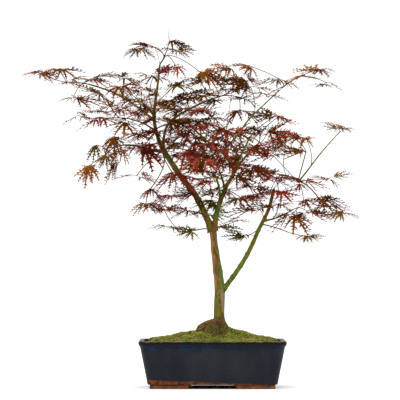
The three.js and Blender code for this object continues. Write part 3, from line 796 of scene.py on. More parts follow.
def flare(z, heading):
    """How far the surface roots push the trunk out."""
    height = np.clip((z - TRUNK_STATIONS[0, 0]) / (FLARE_TOP - TRUNK_STATIONS[0, 0]), 0, 1)
    out = np.zeros(np.broadcast(z, heading).shape)
    for bearing, reach, width, shoulder in ROOTS:
        off = (heading - bearing + 180) % 360 - 180
        out += reach * np.exp(-((off / width) ** 2)) * (1 - height ** shoulder)
    return out


TRUNK_MESH = {"around": 120, "step": 1.2, "thinnest": 1.0}
# Relief: length and width of its grain, strength, how much more at the foot, and seed.
TRUNK_RELIEF = [(16, 3.2, 0.35, 0.9, 1), (60, 11, 0.5, 1.1, 2)]
ROUGH_FOOT = {"below": 130, "full": 50}
KNOTS = {"length": 4, "places": [(196, 0.7), (231, 0.6)]}  # height and swell of each
FURROWS = {"deep": 1.4, "count": 15, "sway": 1.8, "sways": 4, "twist": 11, "above": 6, "fade": 20}


def trunk():
    """Rings up the stem, pushed out by its roots, relief, knots and furrows."""
    around = TRUNK_MESH["around"]
    centres, _ = smooth_path(TRUNK_STATIONS[:, [1, 2, 0, 3]], TRUNK_MESH["step"])
    heading = np.linspace(0, 360, around, endpoint=False)
    angle = np.radians(heading)
    points = []
    for x, y, z, radius in centres:
        r = radius + flare(z, heading)
        level = np.full(around, z)
        ring = np.column_stack([x + r * np.cos(angle), y + r * np.sin(angle), level])
        foot = np.clip((ROUGH_FOOT["below"] - z) / ROUGH_FOOT["full"], 0, 1)
        rough = sum(relief(ring, along, across, even + more * foot, seed)
                    for along, across, even, more, seed in TRUNK_RELIEF)
        knots = sum(swell * np.exp(-(((z - at) / KNOTS["length"]) ** 2)) for at, swell in KNOTS["places"])
        bare = np.clip((FLARE_TOP + FURROWS["above"] - z) / FURROWS["fade"], 0, 1)
        sway = FURROWS["sway"] * np.sin(FURROWS["sways"] * angle)
        furrows = FURROWS["deep"] * bare * np.sin(FURROWS["count"] * angle + sway + z / FURROWS["twist"])
        r = np.maximum(r + rough + knots + furrows, TRUNK_MESH["thinnest"])
        points.append(np.column_stack([x + r * np.cos(angle), y + r * np.sin(angle), level]))
    rings = len(points)
    points = np.concatenate(points)
    faces = ring_faces(rings, around)
    faces.append(tuple(reversed(range(around))))
    faces.append(tuple(range((rings - 1) * around, rings * around)))
    piece = piece_from("trunk_bark_relief", points, faces, [trunk_bark()])
    outward(piece)
    settle(piece, "bark", "trunk")


trunk()

# ---- Boughs --------------------------------------------------------------------------------
# The trunk forks into a left bough and a centre bough, and a right bough leaves it low down.
# Each tapers evenly, swells at its foot and at its buds, and keeps a green, faintly ringed bark.

# Radius at the foot and at the tip, and the path from the parent outwards.
LIMBS = {
    "bough_left": (5.6, 4.4, [
        (0, 0, 264), (-12, 2, 292), (-30, 4, 327), (-55, 5, 359), (-75, 5, 389), (-84, 4, 402)]),
    "bough_right": (4.4, 2.6, [
        (10, 0, 152), (21, -2, 168), (42, -6, 197), (57, -9, 221), (68, -13, 243), (78, -16, 266),
        (86, -19, 282), (95, -22, 301), (104, -28, 336)]),
    "bough_centre": (4.6, 2.6, [
        (2, 0, 266), (9, -3, 301), (23, -7, 339), (36, -12, 364), (28, -12, 384), (21, -12, 404)]),
    "leader": (3.6, 1.5, [
        (-82, 4, 399), (-92, 4, 422), (-99, 3, 455), (-96, 2, 490), (-92, 0, 520), (-89, 0, 548)]),
    "bough_upper_right": (2.5, 1.4, [
        (-84, 5, 401), (-81, 12, 431), (-73, 18, 450), (-56, 24, 463), (-26, 32, 480), (6, 34, 493)]),
    "bough_inner_left": (2.1, 1.3, [(25, -12, 391), (-5, -20, 413), (-30, -28, 435), (-46, -33, 451)]),
    "shoot_upper_right": (1.7, 0.9, [
        (21, -13, 403), (42, -16, 426), (60, -17, 451), (82, -15, 473), (117, -7, 506)]),
    "bough_low_left": (2.3, 1.5, [(-82, 2, 399), (-112, -12, 403), (-130, -22, 408), (-150, -32, 409)]),
    "arm_left": (2.0, 1.2, [
        (-98, 3, 452), (-131, 12, 478), (-165, 16, 499), (-199, 10, 511), (-214, 7, 515)]),
    "twig_left": (1.5, 1.0, [(-95, 3, 434), (-118, -12, 447), (-142, -24, 454)]),
    "shoot_right": (1.3, 0.8, [
        (144, -28, 346), (157, -28, 362), (184, -25, 397), (209, -12, 425), (218, -7, 434)]),
    "twig_right_low": (1.5, 1.0, [(86, -18, 281), (110, -22, 287), (139, -27, 302)]),
    "twig_low_right": (0.9, 0.8, [(83, -17, 276), (106, -26, 270), (130, -33, 261)]),
    "bough_front_high": (1.7, 1.2, [(-98, 3, 458), (-110, -22, 473), (-124, -42, 484)]),
    "bough_back_high": (1.7, 1.2, [(-98, 3, 462), (-108, 30, 474), (-122, 46, 482)]),
    "bough_front_centre": (2.1, 1.5, [(14, -5, 316), (10, -34, 342), (2, -58, 364)]),
    "bough_back_centre": (2.1, 1.5, [(21, -6, 333), (18, 26, 350), (11, 56, 372)]),
    "bough_front_right": (1.9, 1.3, [(36, -12, 363), (58, -36, 392), (78, -54, 412)]),
    "bough_back_right": (1.9, 1.3, [(36, -12, 365), (49, 26, 394), (66, 68, 428)]),
}
COLLAR = {"swell": 0.75, "length": 7.0}  # how a bough widens where it leaves its parent
BUDS = {"spacing": 23.0, "swell": 0.16, "length": 1.6, "shift": 8}
# Sides round a limb and steps along it, from this radius at its foot up and below it.
THICK = 3.0
THICK_LIMB = {"around": 28, "step": 1.5}
THIN_LIMB = {"around": 18, "step": 2.0}
ROUNDED_TIP = np.array([0.96, 0.8, 0.45])  # the last rings' radii
LIMB_RELIEF = {"along": 14, "across": 3.0, "share": 0.07, "least": 0.05}
BOUGH_TONES = {"bark": ("7c5418", "566210"), "streaks": "3e2c0c", "flecks": "6a821a"}


def along_path(centres):
    """Unit directions along a path, and two directions across it that turn as little as they can."""
    ahead = np.gradient(centres, axis=0)
    ahead /= np.linalg.norm(ahead, axis=1)[:, None]
    side = np.cross(ahead[0], (0.0, 1.0, 0.0))
    sides = []
    for way in ahead:
        side = side - way * np.dot(side, way)
        side = side / np.linalg.norm(side)
        sides.append(side)
    sides = np.array(sides)
    return ahead, sides, np.cross(ahead, sides)


def limb_mesh(path, foot, tip, seed):
    """Rings of bark along one limb."""
    build = THICK_LIMB if foot > THICK else THIN_LIMB
    around = build["around"]
    centres, run = smooth_path(path, build["step"])
    ahead, side, up = along_path(centres)
    share = run / run[-1]
    radius = foot + (tip - foot) * share
    radius = radius * (1 + COLLAR["swell"] * np.exp(-run / COLLAR["length"]))
    offset = (run - BUDS["shift"] * (seed % 3)) % BUDS["spacing"] - BUDS["spacing"] / 2
    radius = radius * (1 + BUDS["swell"] * np.exp(-((offset / BUDS["length"]) ** 2)))
    radius[-len(ROUNDED_TIP):] *= ROUNDED_TIP
    angle = np.linspace(0, 2 * math.pi, around, endpoint=False)
    rings = []
    for k in range(len(centres)):
        spokes = side[k] * np.cos(angle)[:, None] + up[k] * np.sin(angle)[:, None]
        ring = centres[k] + spokes * radius[k]
        strength = LIMB_RELIEF["share"] * radius[k] + LIMB_RELIEF["least"]
        rough = relief(ring, LIMB_RELIEF["along"], LIMB_RELIEF["across"], strength, seed)
        rings.append(ring + spokes * rough[:, None])
    faces = ring_faces(len(rings), around)
    faces.append(tuple(reversed(range(around))))
    faces.append(tuple(range((len(rings) - 1) * around, len(rings) * around)))
    return np.concatenate(rings), faces


def bough_bark():
    """Green and brown bark, alike on all the boughs."""
    material, tree, shader, _, tone = bark_finish(
        "bough_bark", BOUGH_TONES["bark"], BOUGH_TONES["streaks"], BOUGH_TONES["flecks"])
    tree.links.new(tone, shader.inputs["Base Color"])
    return material


def boughs():
    """All the limbs as one piece."""
    points, faces, count = [], [], 0
    for seed, (foot, tip, path) in enumerate(LIMBS.values()):
        limb_points, limb_faces = limb_mesh(path, foot, tip, seed)
        points.append(limb_points)
        faces += [tuple(k + count for k in face) for face in limb_faces]
        count += len(limb_points)
    piece = piece_from("boughs_bark_relief", np.concatenate(points), faces, [bough_bark()])
    outward(piece)
    settle(piece, "green_bark", *LIMBS)


boughs()

# ---- Twigs ---------------------------------------------------------------------------------
# Twigs grow on from the limbs through every mass of foliage. Each spray of leaves is reached from
# the wood that costs it least, counting the way there and the way back to the limb's foot.

# Sprays are dealt out over the whole crown, each to the emptiest of many chosen spots.
SPRAYS = {"count": 146, "tries": 40, "most": 60.0, "seed": 100}
LEAVES_IN_SPRAY = {"few": 3, "many": 4, "share_of_many": 0.4}
BEYOND = {"outline": -1.0, "inner": 13.0}  # how far outside its mass a spray may stand
ALONG = {"share": 0.22, "near": 9.0, "far": 27.0, "flat": (1, 1, 0.6)}  # sprays on short shoots along limbs
APART = np.array([1.0, 0.3, 1.5])  # how much sprays keep clear of each other along X, Y and Z
TWIG_STEP = 5.0
BACKTRACK = 0.65  # how much the length already grown counts
SHOOT_BACKTRACK = 0.5  # share of that length which counts on a leading shoot
TWIG_BEND = {"at": 0.4, "follow": 0.55, "aim": 0.45}  # it follows its parent, then turns to its spray
TWIG_RADIUS = {"tip": 0.45, "power": 0.36, "collar": 1.25}
TWIG_SIDES = 6

# The part of each limb that carries sprays on short shoots.
LEAFY = {
    "bough_left": (0.15, 1.0), "bough_centre": (0.1, 1.0), "bough_right": (0.55, 1.0),
    "leader": (0.1, 0.9), "bough_upper_right": (0.2, 0.75),
    "arm_left": (0.2, 1.0), "bough_inner_left": (0.1, 1.0), "bough_low_left": (0.7, 1.0),
    "twig_right_low": (0.2, 1.0), "twig_left": (0.2, 1.0),
}
# Masses at the edge of the crown, whose leaves give it its outline.
OUTLINE = {"foliage_" + place for place in (
    "far_left", "left_outer", "left_upper", "left_drooping", "top_left", "top_right", "upper_right",
    "far_upper_right", "far_right", "right_side", "right_low", "low_right", "low_left")}
# How closely sprays stand in a mass, where that isn't 1.
FULLNESS = {
    "foliage_left_upper": 1.05, "foliage_left_under": 0.8, "foliage_left_inner": 1.1,
    "foliage_left_front": 0.95, "foliage_left_back": 0.95, "foliage_left_drooping": 1.25,
    "foliage_right_middle": 0.9, "foliage_right_middle_back": 0.75, "foliage_right_front": 0.85,
    "foliage_right_back": 0.85, "foliage_right_outer": 0.85, "foliage_right_low": 1.3,
    "foliage_top_left": 1.4, "foliage_top_right": 1.2, "foliage_leader_right": 1.1,
    "foliage_low_left": 0.9, "foliage_low_centre": 0.75, "foliage_low_right": 0.75,
    "foliage_inner_front": 1.2, "foliage_inner_back": 1.2, "foliage_far_left": 0.95,
    "foliage_upper_centre": 1.15,
}

# Masses whose leaves hang steeply, and how much more than the rest.
HANGING = {"foliage_left_drooping": 0.85, "foliage_right_low": 0.05, "foliage_low_right": 0.1}
HUNG_FROM = 0.5  # share of a mass's height that a fully hanging mass keeps free of sprays

# Leading shoots that carry a limb on through its foliage.
SHOOTS_ON = [
    [(6, 34, 493), (40, 32, 503), (84, 18, 515), (112, 8, 523)],
    [(-214, 7, 515), (-232, 4, 517), (-248, 0, 517)],
    [(117, -7, 506), (134, -3, 519), (150, 2, 527)],
    [(-89, 0, 548), (-92, 0, 560), (-97, -2, 575)],
    [(-89, 0, 548), (-80, 2, 560), (-66, 4, 572)],
    [(-84, 1, 556), (-77, 1, 572), (-73, 0, 586)],
    [(104, -28, 336), (120, -30, 350), (144, -28, 346)],
    [(144, -28, 346), (170, -10, 352), (196, 4, 352)],
    [(139, -27, 302), (165, -28, 309), (196, -30, 304)],
    [(21, -12, 404), (24, -2, 440), (30, 10, 480), (34, 18, 505)],
    [(-150, -32, 409), (-166, -38, 404), (-180, -42, 392)],
    [(-142, -24, 454), (-165, -32, 455), (-190, -38, 453)],
    [(104, -28, 336), (112, 10, 352), (108, 50, 362)],
]

# Bare young tips that stand out past the leaves: points and radius.
BARE_TIPS = [[(-73, 0, 586, 0.65), (-74, 0, 597, 0.55), (-73, -1, 608, 0.35)]]


# A ray that counts faces leans a little, so that it meets no edge, and starts on past each face.
UPWARDS = Vector((0.013, 0.017, 1.0)).normalized()
PAST_FACE = 1e-3
MOST_FACES = 20


class Mass:
    """One mass of foliage: its room, in millimetres from the pot's middle, and its leaf colour."""

    def __init__(self, name):
        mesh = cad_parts[name].data
        self.name = name
        self.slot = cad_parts[name].material_slots[0].material.name
        corners = np.array([v.co for v in mesh.vertices])
        corners = (corners - POT_MIDDLE) / MM
        mesh.calc_loop_triangles()
        triangles = np.array([t.vertices for t in mesh.loop_triangles])
        self.low, self.high = corners.min(0), corners.max(0)
        self.tree = BVHTree.FromPolygons(corners.tolist(), triangles.tolist())

    def inside(self, point):
        """Whether a point is inside, which an odd number of faces above it tells."""
        if np.any(point < self.low) or np.any(point > self.high):
            return False
        faces = 0
        found = self.tree.ray_cast(Vector(point), UPWARDS)[0]
        while found is not None and faces < MOST_FACES:
            faces += 1
            found = self.tree.ray_cast(found + UPWARDS * PAST_FACE, UPWARDS)[0]
        return faces % 2 == 1

    def depth(self, point):
        """Distance to the surface: above 0 inside the mass and below 0 outside it."""
        away = self.tree.find_nearest(Vector(point))[3]
        return away if self.inside(point) else -away


def unit(vector):
    """The vector, or each of an array of them, at length 1."""
    return vector / np.maximum(np.linalg.norm(vector, axis=-1, keepdims=True), 1e-9)


def nearest_mass(point):
    """The mass that a point is deepest in, or least outside, and how deep."""
    best = (-FAR_OUT, MASSES[0])
    for k in np.flatnonzero(np.all((point > LOWS - FAR_OUT) & (point < HIGHS + FAR_OUT), axis=1)):
        deep = MASSES[k].depth(point)
        if deep > best[0]:
            best = (deep, MASSES[k])
    return best


def spot_in_mass(rng):
    """A point in or just beside a mass that is chosen by the size of its front."""
    while True:
        mass = MASSES[rng.choice(len(MASSES), p=FRONTS)]
        beyond = BEYOND["outline" if mass.name in OUTLINE else "inner"]
        lowest = mass.low - max(beyond, 0)
        lowest[2] += HANGING.get(mass.name, 0.0) * (mass.high[2] - mass.low[2]) * HUNG_FROM
        spot = rng.uniform(lowest, mass.high + max(beyond, 0))
        if mass.depth(spot) > -beyond:
            return spot, mass


def spot_on_limb(rng):
    """A point a short shoot's length from a limb."""
    name = list(LEAFY)[rng.integers(len(LEAFY))]
    path = np.array(LIMBS[name][2], float)
    run = np.concatenate([[0], np.cumsum(np.linalg.norm(np.diff(path, axis=0), axis=1))])
    at = rng.uniform(*LEAFY[name]) * run[-1]
    spot = np.array([np.interp(at, run, column) for column in path.T])
    spot = spot + unit(rng.normal(0, 1, 3) * ALONG["flat"]) * rng.uniform(ALONG["near"], ALONG["far"])
    return spot, nearest_mass(spot)[1]


def growth(sprays):
    """Grows twigs to all the sprays.

    Returns every node's place, direction and radius, the chains of nodes that are twigs, and the
    node that each spray stands on.
    """
    place, parent, run, way, width = [], [], [], [], []

    def lay(points, first_parent, first_run, radii):
        """Adds a line of nodes to a parent and returns the last of them."""
        last = first_parent
        for k, point in enumerate(points):
            ahead = points[min(k + 1, len(points) - 1)] - points[max(k - 1, 0)]
            place.append(point)
            parent.append(last)
            run.append(first_run)
            way.append(ahead / max(np.linalg.norm(ahead), SHORTEST))
            width.append(radii[k])
            last = len(place) - 1
            if k + 1 < len(points):
                first_run += np.linalg.norm(points[k + 1] - point)
        return last

    for foot, tip, path in LIMBS.values():
        centres, even = smooth_path(path, TWIG_STEP)
        lay(list(centres), -1, 0.0, foot + (tip - foot) * even / even[-1])
    limb_nodes = len(place)
    chains = []
    for path in SHOOTS_ON:
        centres, even = smooth_path(path, TWIG_STEP)
        start = int(np.argmin(np.linalg.norm(np.array(place) - centres[0], axis=1)))
        first = len(place)
        lay(list(centres[1:]), start, run[start] * SHOOT_BACKTRACK, np.zeros(len(centres)))
        chains.append([start] + list(range(first, len(place))))

    goals = np.array([spray["at"] for spray in sprays])
    cost = np.full(len(goals), np.inf)
    source = np.full(len(goals), -1)
    tip_of = [None] * len(goals)

    def review(first):
        """Finds which waiting sprays the nodes from this one on reach at less cost."""
        spots = np.array(place[first:])
        grown = np.array(run[first:])
        for g in range(len(goals)):
            if tip_of[g] is None:
                price = np.linalg.norm(spots - goals[g], axis=1) + BACKTRACK * grown
                k = int(np.argmin(price))
                if price[k] < cost[g]:
                    cost[g] = price[k]
                    source[g] = first + k

    review(0)
    for _ in range(len(goals)):
        g = int(np.argmin(np.where([t is None for t in tip_of], cost, np.inf)))
        start = int(source[g])
        a, b = place[start], goals[g]
        reach = np.linalg.norm(b - a)
        turn = TWIG_BEND["follow"] * way[start] + TWIG_BEND["aim"] * (b - a) / max(reach, SHORTEST)
        bend = a + TWIG_BEND["at"] * reach * turn
        steps = max(2, int(round(reach / TWIG_STEP)) + 1)
        t = np.linspace(0, 1, steps)[1:, None]
        curve = (1 - t) ** 2 * a + 2 * t * (1 - t) * bend + t ** 2 * b
        first = len(place)
        tip_of[g] = lay(list(curve), start, run[start] + reach / steps, np.zeros(len(curve)))
        chains.append([start] + list(range(first, len(place))))
        review(first)

    load = np.zeros(len(place))
    for g, spray in enumerate(sprays):
        load[tip_of[g]] += spray["leaves"]
    for k in range(len(place) - 1, -1, -1):
        if parent[k] >= 0:
            load[parent[k]] += load[k]
    radius = np.where(np.arange(len(place)) < limb_nodes, np.array(width),
                      TWIG_RADIUS["tip"] * np.maximum(load, 1) ** TWIG_RADIUS["power"])
    return np.array(place), np.array(way), radius, chains, tip_of


def stem_tree():
    """Geometry Nodes that give a set of lines their thickness, from the width at each point."""
    tree = bpy.data.node_groups.new("stems_from_lines", "GeometryNodeTree")
    tree.interface.new_socket("Geometry", in_out="INPUT", socket_type="NodeSocketGeometry")
    tree.interface.new_socket("Sides", in_out="INPUT", socket_type="NodeSocketInt")
    tree.interface.new_socket("Bark", in_out="INPUT", socket_type="NodeSocketMaterial")
    tree.interface.new_socket("Geometry", in_out="OUTPUT", socket_type="NodeSocketGeometry")
    entry = add(tree, "NodeGroupInput").outputs
    lines = add(tree, "GeometryNodeMeshToCurve", {"Mesh": entry["Geometry"]}).outputs[0]
    circle = add(tree, "GeometryNodeCurvePrimitiveCircle", {"Resolution": entry["Sides"], "Radius": 1.0})
    wide = add(tree, "GeometryNodeInputNamedAttribute", {"Name": "width"}, data_type="FLOAT").outputs[0]
    tube = add(tree, "GeometryNodeCurveToMesh", {
        "Curve": lines, "Profile Curve": circle.outputs[0], "Scale": wide, "Fill Caps": True}).outputs[0]
    solid = add(tree, "GeometryNodeRealizeInstances", {0: tube}).outputs[0]
    barked = add(tree, "GeometryNodeSetMaterial", {"Geometry": solid, "Material": entry["Bark"]}).outputs[0]
    leave = add(tree, "NodeGroupOutput")
    tree.links.new(barked, leave.inputs[0])
    return tree


def stems(name, lines, sides, bark, slot, smooth=True):
    """Lines, each an array of points with a radius, made one piece of thin tapering stems."""
    points = np.concatenate([line[:, :3] for line in lines])
    widths = np.concatenate([line[:, 3] for line in lines])
    edges, count = [], 0
    for line in lines:
        edges += [(count + k, count + k + 1) for k in range(len(line) - 1)]
        count += len(line)
    mesh = bpy.data.meshes.new(name)
    mesh.from_pydata((points * MM + POT_MIDDLE).tolist(), edges, [])
    mesh.attributes.new("width", "FLOAT", "POINT").data.foreach_set("value", widths * MM)
    piece = bpy.data.objects.new(name, mesh)
    bpy.context.scene.collection.objects.link(piece)
    grown_from(piece, STEM_TREE, {"Sides": sides, "Bark": bark})
    for attribute in list(piece.data.attributes):
        if attribute.name == "width":
            piece.data.attributes.remove(attribute)
    piece.data.polygons.foreach_set("use_smooth", np.full(len(piece.data.polygons), smooth))
    outward(piece)
    settle(piece, slot)
    return piece


STEM_TREE = stem_tree()
MASSES = [Mass(name) for name in sorted(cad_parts) if name.startswith("foliage_")]
LOWS = np.array([mass.low for mass in MASSES])
HIGHS = np.array([mass.high for mass in MASSES])
CROWN_LOW, CROWN_HIGH = LOWS.min(0), HIGHS.max(0)
LEAF_ROOM = np.array([26.0, 26.0, 0.0])  # kept between a spray and the sides of the crown's box
FAR_OUT = 55.0  # a point further out than this counts as this far
FRONTS = (HIGHS - LOWS)[:, 0] * (HIGHS - LOWS)[:, 2]
FRONTS = FRONTS / FRONTS.sum()


def plan_sprays():
    """Where each spray stands, in which mass, and with how many leaves."""
    rng = np.random.default_rng(SPRAYS["seed"])
    sprays = []
    for path in SHOOTS_ON:
        end = np.array(path[-1], float)
        sprays.append({
            "at": end + (0, 0, 1), "mass": nearest_mass(end)[1], "on_limb": False,
            "leaves": LEAVES_IN_SPRAY["few"]})
    while len(sprays) < SPRAYS["count"]:
        spots = np.array([spray["at"] for spray in sprays]).reshape(-1, 3)
        best = None
        for _ in range(SPRAYS["tries"]):
            on_limb = rng.random() < ALONG["share"]
            spot, mass = spot_on_limb(rng) if on_limb else spot_in_mass(rng)
            spot = np.clip(spot, CROWN_LOW + LEAF_ROOM, CROWN_HIGH - LEAF_ROOM)
            gaps = np.linalg.norm((spots - spot) * APART, axis=1)
            room = np.append(gaps, SPRAYS["most"]).min() * FULLNESS.get(mass.name, 1.0)
            if best is None or room > best[0]:
                best = (room, spot, mass, on_limb)
        leaves = LEAVES_IN_SPRAY["many" if rng.random() < LEAVES_IN_SPRAY["share_of_many"] else "few"]
        sprays.append({"at": best[1], "mass": best[2], "on_limb": best[3], "leaves": leaves})
    return sprays


sprays = plan_sprays()
node_place, node_way, node_radius, chains, spray_tips = growth(sprays)


def twigs():
    """Every chain of the growth as a stem, no thicker at its foot than just above it."""
    lines = []
    for chain in chains:
        radii = node_radius[chain].copy()
        radii[0] = min(radii[0], radii[1] * TWIG_RADIUS["collar"])
        lines.append(np.column_stack([node_place[chain], radii]))
    lines += [smooth_path(tip, TWIG_STEP)[0] for tip in BARE_TIPS]
    stems("twigs", lines, TWIG_SIDES, plain_finish("twig_bark", "5f3a1a", 0.8, 0.1), "green_bark")


twigs()

# ---- Leaves --------------------------------------------------------------------------------
# Each leaf has seven narrow lobes cut to the base, and each lobe a row of pointed teeth down both
# sides. The blade lies nearly flat, the way its twig runs, and its lobes bend down. Autumn has
# turned it brown, crimson or olive, spray by spray, with some green in the shade at the fork.

# Angle from the middle lobe, length against it, and pairs of teeth.
LOBES = [
    (0, 1.0, 6), (27, 0.93, 5), (-27, 0.93, 5), (56, 0.76, 4), (-56, 0.76, 4), (92, 0.42, 2),
    (-92, 0.42, 2)]
LEAF = {"short": 30.0, "long": 56.0}
STALK = {"short": 4.0, "long": 14.0}
# How a leaf stands: stalk's lift, blade's rise, droop and roll in radians, and their spread.
STANCE = {
    "lift": (-0.3, 0.4), "hanging_lift": 0.5, "rise": (-0.45, 0.2), "follow_twig": 0.35,
    "droop": (0.05, 0.6), "roll": 0.35, "most_roll": 1.0, "roll_share": 0.8,
}
SWEEP = {"leading": 0.4, "rest": 1.0}  # how far, in radians, leaves stray from the way their twig runs
# The five longest lobes stand for the blade when room is sought: turn in radians and length.
REACHES = {
    "turn": np.array([0.0, 0.47, -0.47, 1.0, -1.0])[:, None],
    "length": np.array([1.0, 0.93, 0.93, 0.76, 0.76])[:, None],
    "bent": 0.5, "sunk": 0.55, "tested": 0.8, "covered": 0.62,
}
ROUNDS = 2  # times that every leaf is placed, the later times among all the others
TRIES = 36
TOO_WIDE = 20.0  # price of each millimetre a leaf reaches past the crown's own box
STRAYING = 2.4  # price of each millimetre a leaf reaches too far out
SPREAD = {"weight": 5.0, "size": 9.0, "spare_outline": 5.0, "spare_inner": 16.0, "spare_limb": 40.0}
SEEN_APART = (1.0, 0.25, 1.0)  # how much leaves keep clear of each other along X, Y and Z
NEIGHBOURS = 160  # only leaves this near count
NOWHERE = 1e6
LEAF_SEEDS = {"place": 9, "shape": 77}
LIT_TIPS = 0.45  # share of lobes that turn a tint of their own

# A lobe: how it strays from its angle in degrees, and its length, bend, and half-widths.
LOBE = {
    "stray": 5, "length": (0.85, 1.08), "bend": (0.8, 1.2), "outer_bend": 0.25, "widest_angle": 114,
    "bend_power": 1.2, "blade": 0.044, "neck": 0.6, "narrowing": 0.7,
}
BODY = {"start": 0.12, "run": 0.86, "forward": 0.8, "full": 0.9}  # a lobe's outline from base to tip
# A tooth: length and half-width against the lobe, and how it leaves the rib.
TOOTH = {
    "length": 0.22, "width": 0.043, "vary": (0.7, 1.2), "outward": 0.62, "forward": (0.6, 1.0),
    "lift": (0.25, 0.22), "shoulder": 0.42,
}
# Along a lobe from its base, teeth grow longer, then shorter again, and narrower all the way.
TEETH_ALONG = {"longer": (0.5, 1.5), "shorter": (1.75, -1.45), "narrower": (1.15, -0.6)}

TINTS = {
    "leaf_crimson": [
        ("crimson_deep", "702c14"), ("crimson", "82341e"), ("maroon", "66300e"), ("rose_brown", "8a4034"),
        ("crimson_bright", "862a26")],
    "leaf_brown": [
        ("brown_deep", "5a320c"), ("brown", "764a12"), ("russet", "884816"), ("plum_brown", "6e3814")],
    "leaf_olive": [("olive_deep", "5a400a"), ("olive", "70500e"), ("olive_russet", "744a10")],
    "leaf_green": [("green", "665a0a"), ("green_gold", "8a6c10"), ("green_deep", "48420a")],
}
# What share of the sprays in a mass of one colour is dealt each colour.
MIXED = {
    "leaf_crimson": {"leaf_crimson": 0.68, "leaf_brown": 0.28, "leaf_olive": 0.04},
    "leaf_brown": {"leaf_brown": 0.72, "leaf_crimson": 0.05, "leaf_olive": 0.23},
    "leaf_olive": {"leaf_olive": 0.45, "leaf_brown": 0.55},
    "leaf_green": {"leaf_green": 0.62, "leaf_olive": 0.26, "leaf_brown": 0.12},
}
TRUE_TO_SPRAY = 0.6  # share of leaves in their spray's own tint; the rest take another of its colour


def lobe_line(base, ahead, up, length, turn, droop, stations):
    """The rib of one lobe of every leaf: it leaves at an angle to the middle one and bends down."""
    across = np.cross(up, ahead)
    out = np.cos(turn)[:, None] * ahead + np.sin(turn)[:, None] * across
    down = np.array([0.0, 0.0, -1.0])
    places, ways = [base], []
    step = (length / (stations - 1))[:, None]
    for k in range(stations):
        bend = droop * (k / (stations - 1)) ** LOBE["bend_power"]
        way = unit(np.cos(bend)[:, None] * out + np.sin(bend)[:, None] * down)
        ways.append(way)
        if k:
            places.append(places[-1] + step * way)
    side = unit(np.cross(up, out))
    return np.stack(places, 1), np.stack(ways, 1), side


def leaf_try(at, way, hanging, leads, rng):
    """One way for a leaf to stand out from its bud: its stance, reach, cover, and excess width."""
    heading = math.atan2(way[1], way[0]) + rng.normal(0, SWEEP["leading" if leads else "rest"])
    lift = rng.uniform(*STANCE["lift"]) - STANCE["hanging_lift"] * hanging
    out = np.array([math.cos(heading) * math.cos(lift), math.sin(heading) * math.cos(lift), math.sin(lift)])
    base = at + out * rng.uniform(STALK["short"], STALK["long"])
    size = rng.uniform(LEAF["short"], LEAF["long"])
    droop = rng.uniform(*STANCE["droop"])
    rise = rng.uniform(*STANCE["rise"]) + STANCE["follow_twig"] * way[2] - hanging
    flat = unit(out * (1, 1, 0))
    ahead = flat * math.cos(rise) + np.array([0, 0, math.sin(rise)])
    level = np.cross((0.0, 0.0, 1.0), flat)
    roll = np.clip(rng.normal(0, STANCE["roll"]), -STANCE["most_roll"], STANCE["most_roll"])
    up = unit(np.cross(ahead, level) + level * math.tan(roll) * STANCE["roll_share"])
    up = unit(up - ahead * np.dot(up, ahead))
    across = np.cross(up, ahead)

    ribs = np.cos(REACHES["turn"]) * ahead + np.sin(REACHES["turn"]) * across
    sink = np.array([0, 0, -math.sin(droop * REACHES["sunk"])])
    ends = base + size * REACHES["length"] * (ribs * math.cos(droop * REACHES["bent"]) + sink)
    reach = np.concatenate([[base], base + REACHES["tested"] * (ends[[0, 3, 4]] - base)])
    covered = base + REACHES["covered"] * (reach[1:] - base)
    past = np.maximum(ends - CROWN_HIGH, CROWN_LOW - ends).clip(0).max()
    return {"base": base, "ahead": ahead, "up": up, "size": size, "droop": droop}, reach, covered, past


def deal_leaves(rng):
    """The leaves of every spray, each with its colour and how far out it may stray."""
    leaves = []
    for spray, tip in zip(sprays, spray_tips):
        mass = spray["mass"]
        dealt = MIXED[mass.slot]
        slot = list(dealt)[rng.choice(len(dealt), p=list(dealt.values()))]
        tint = int(rng.integers(len(TINTS[slot])))
        kind = "outline" if mass.name in OUTLINE else "inner"
        for number in range(spray["leaves"]):
            own = tint if rng.random() < TRUE_TO_SPRAY else int(rng.integers(len(TINTS[slot])))
            leaves.append({
                "spray": spray, "tip": tip, "slot": slot, "tint": own, "leads": number == 0,
                "spare": SPREAD["spare_limb" if spray["on_limb"] else "spare_" + kind],
                "hanging": HANGING.get(mass.name, 0.0)})
    return leaves


def place_leaves(rng):
    """Chooses every leaf's stalk, blade and droop, so that leaves fill the crown evenly."""
    leaves = deal_leaves(rng)
    covered = np.full((len(leaves), 3, 3), NOWHERE)
    for order, leaf in list(enumerate(leaves)) * ROUNDS:
        covered[order] = NOWHERE
        others = covered.reshape(-1, 3)
        others = others[np.abs(others - leaf["spray"]["at"]).max(1) < NEIGHBOURS]
        tip = leaf["tip"]
        best = None
        for _ in range(TRIES):
            stance, reach, cover, past = leaf_try(
                node_place[tip], node_way[tip], leaf["hanging"], leaf["leads"], rng)
            gaps = (others[None] - cover[:, None]) * SEEN_APART
            price = SPREAD["weight"] * np.exp(-(gaps ** 2).sum(2) / SPREAD["size"] ** 2).sum() / 3
            price += TOO_WIDE * past
            for point in reach:
                if best is None or price < best[0]:
                    price += STRAYING * max(0.0, -nearest_mass(point)[0] - leaf["spare"])
            if best is None or price < best[0]:
                best = (price, stance, cover)
        leaf.update(best[1])
        covered[order] = best[2]
    return leaves


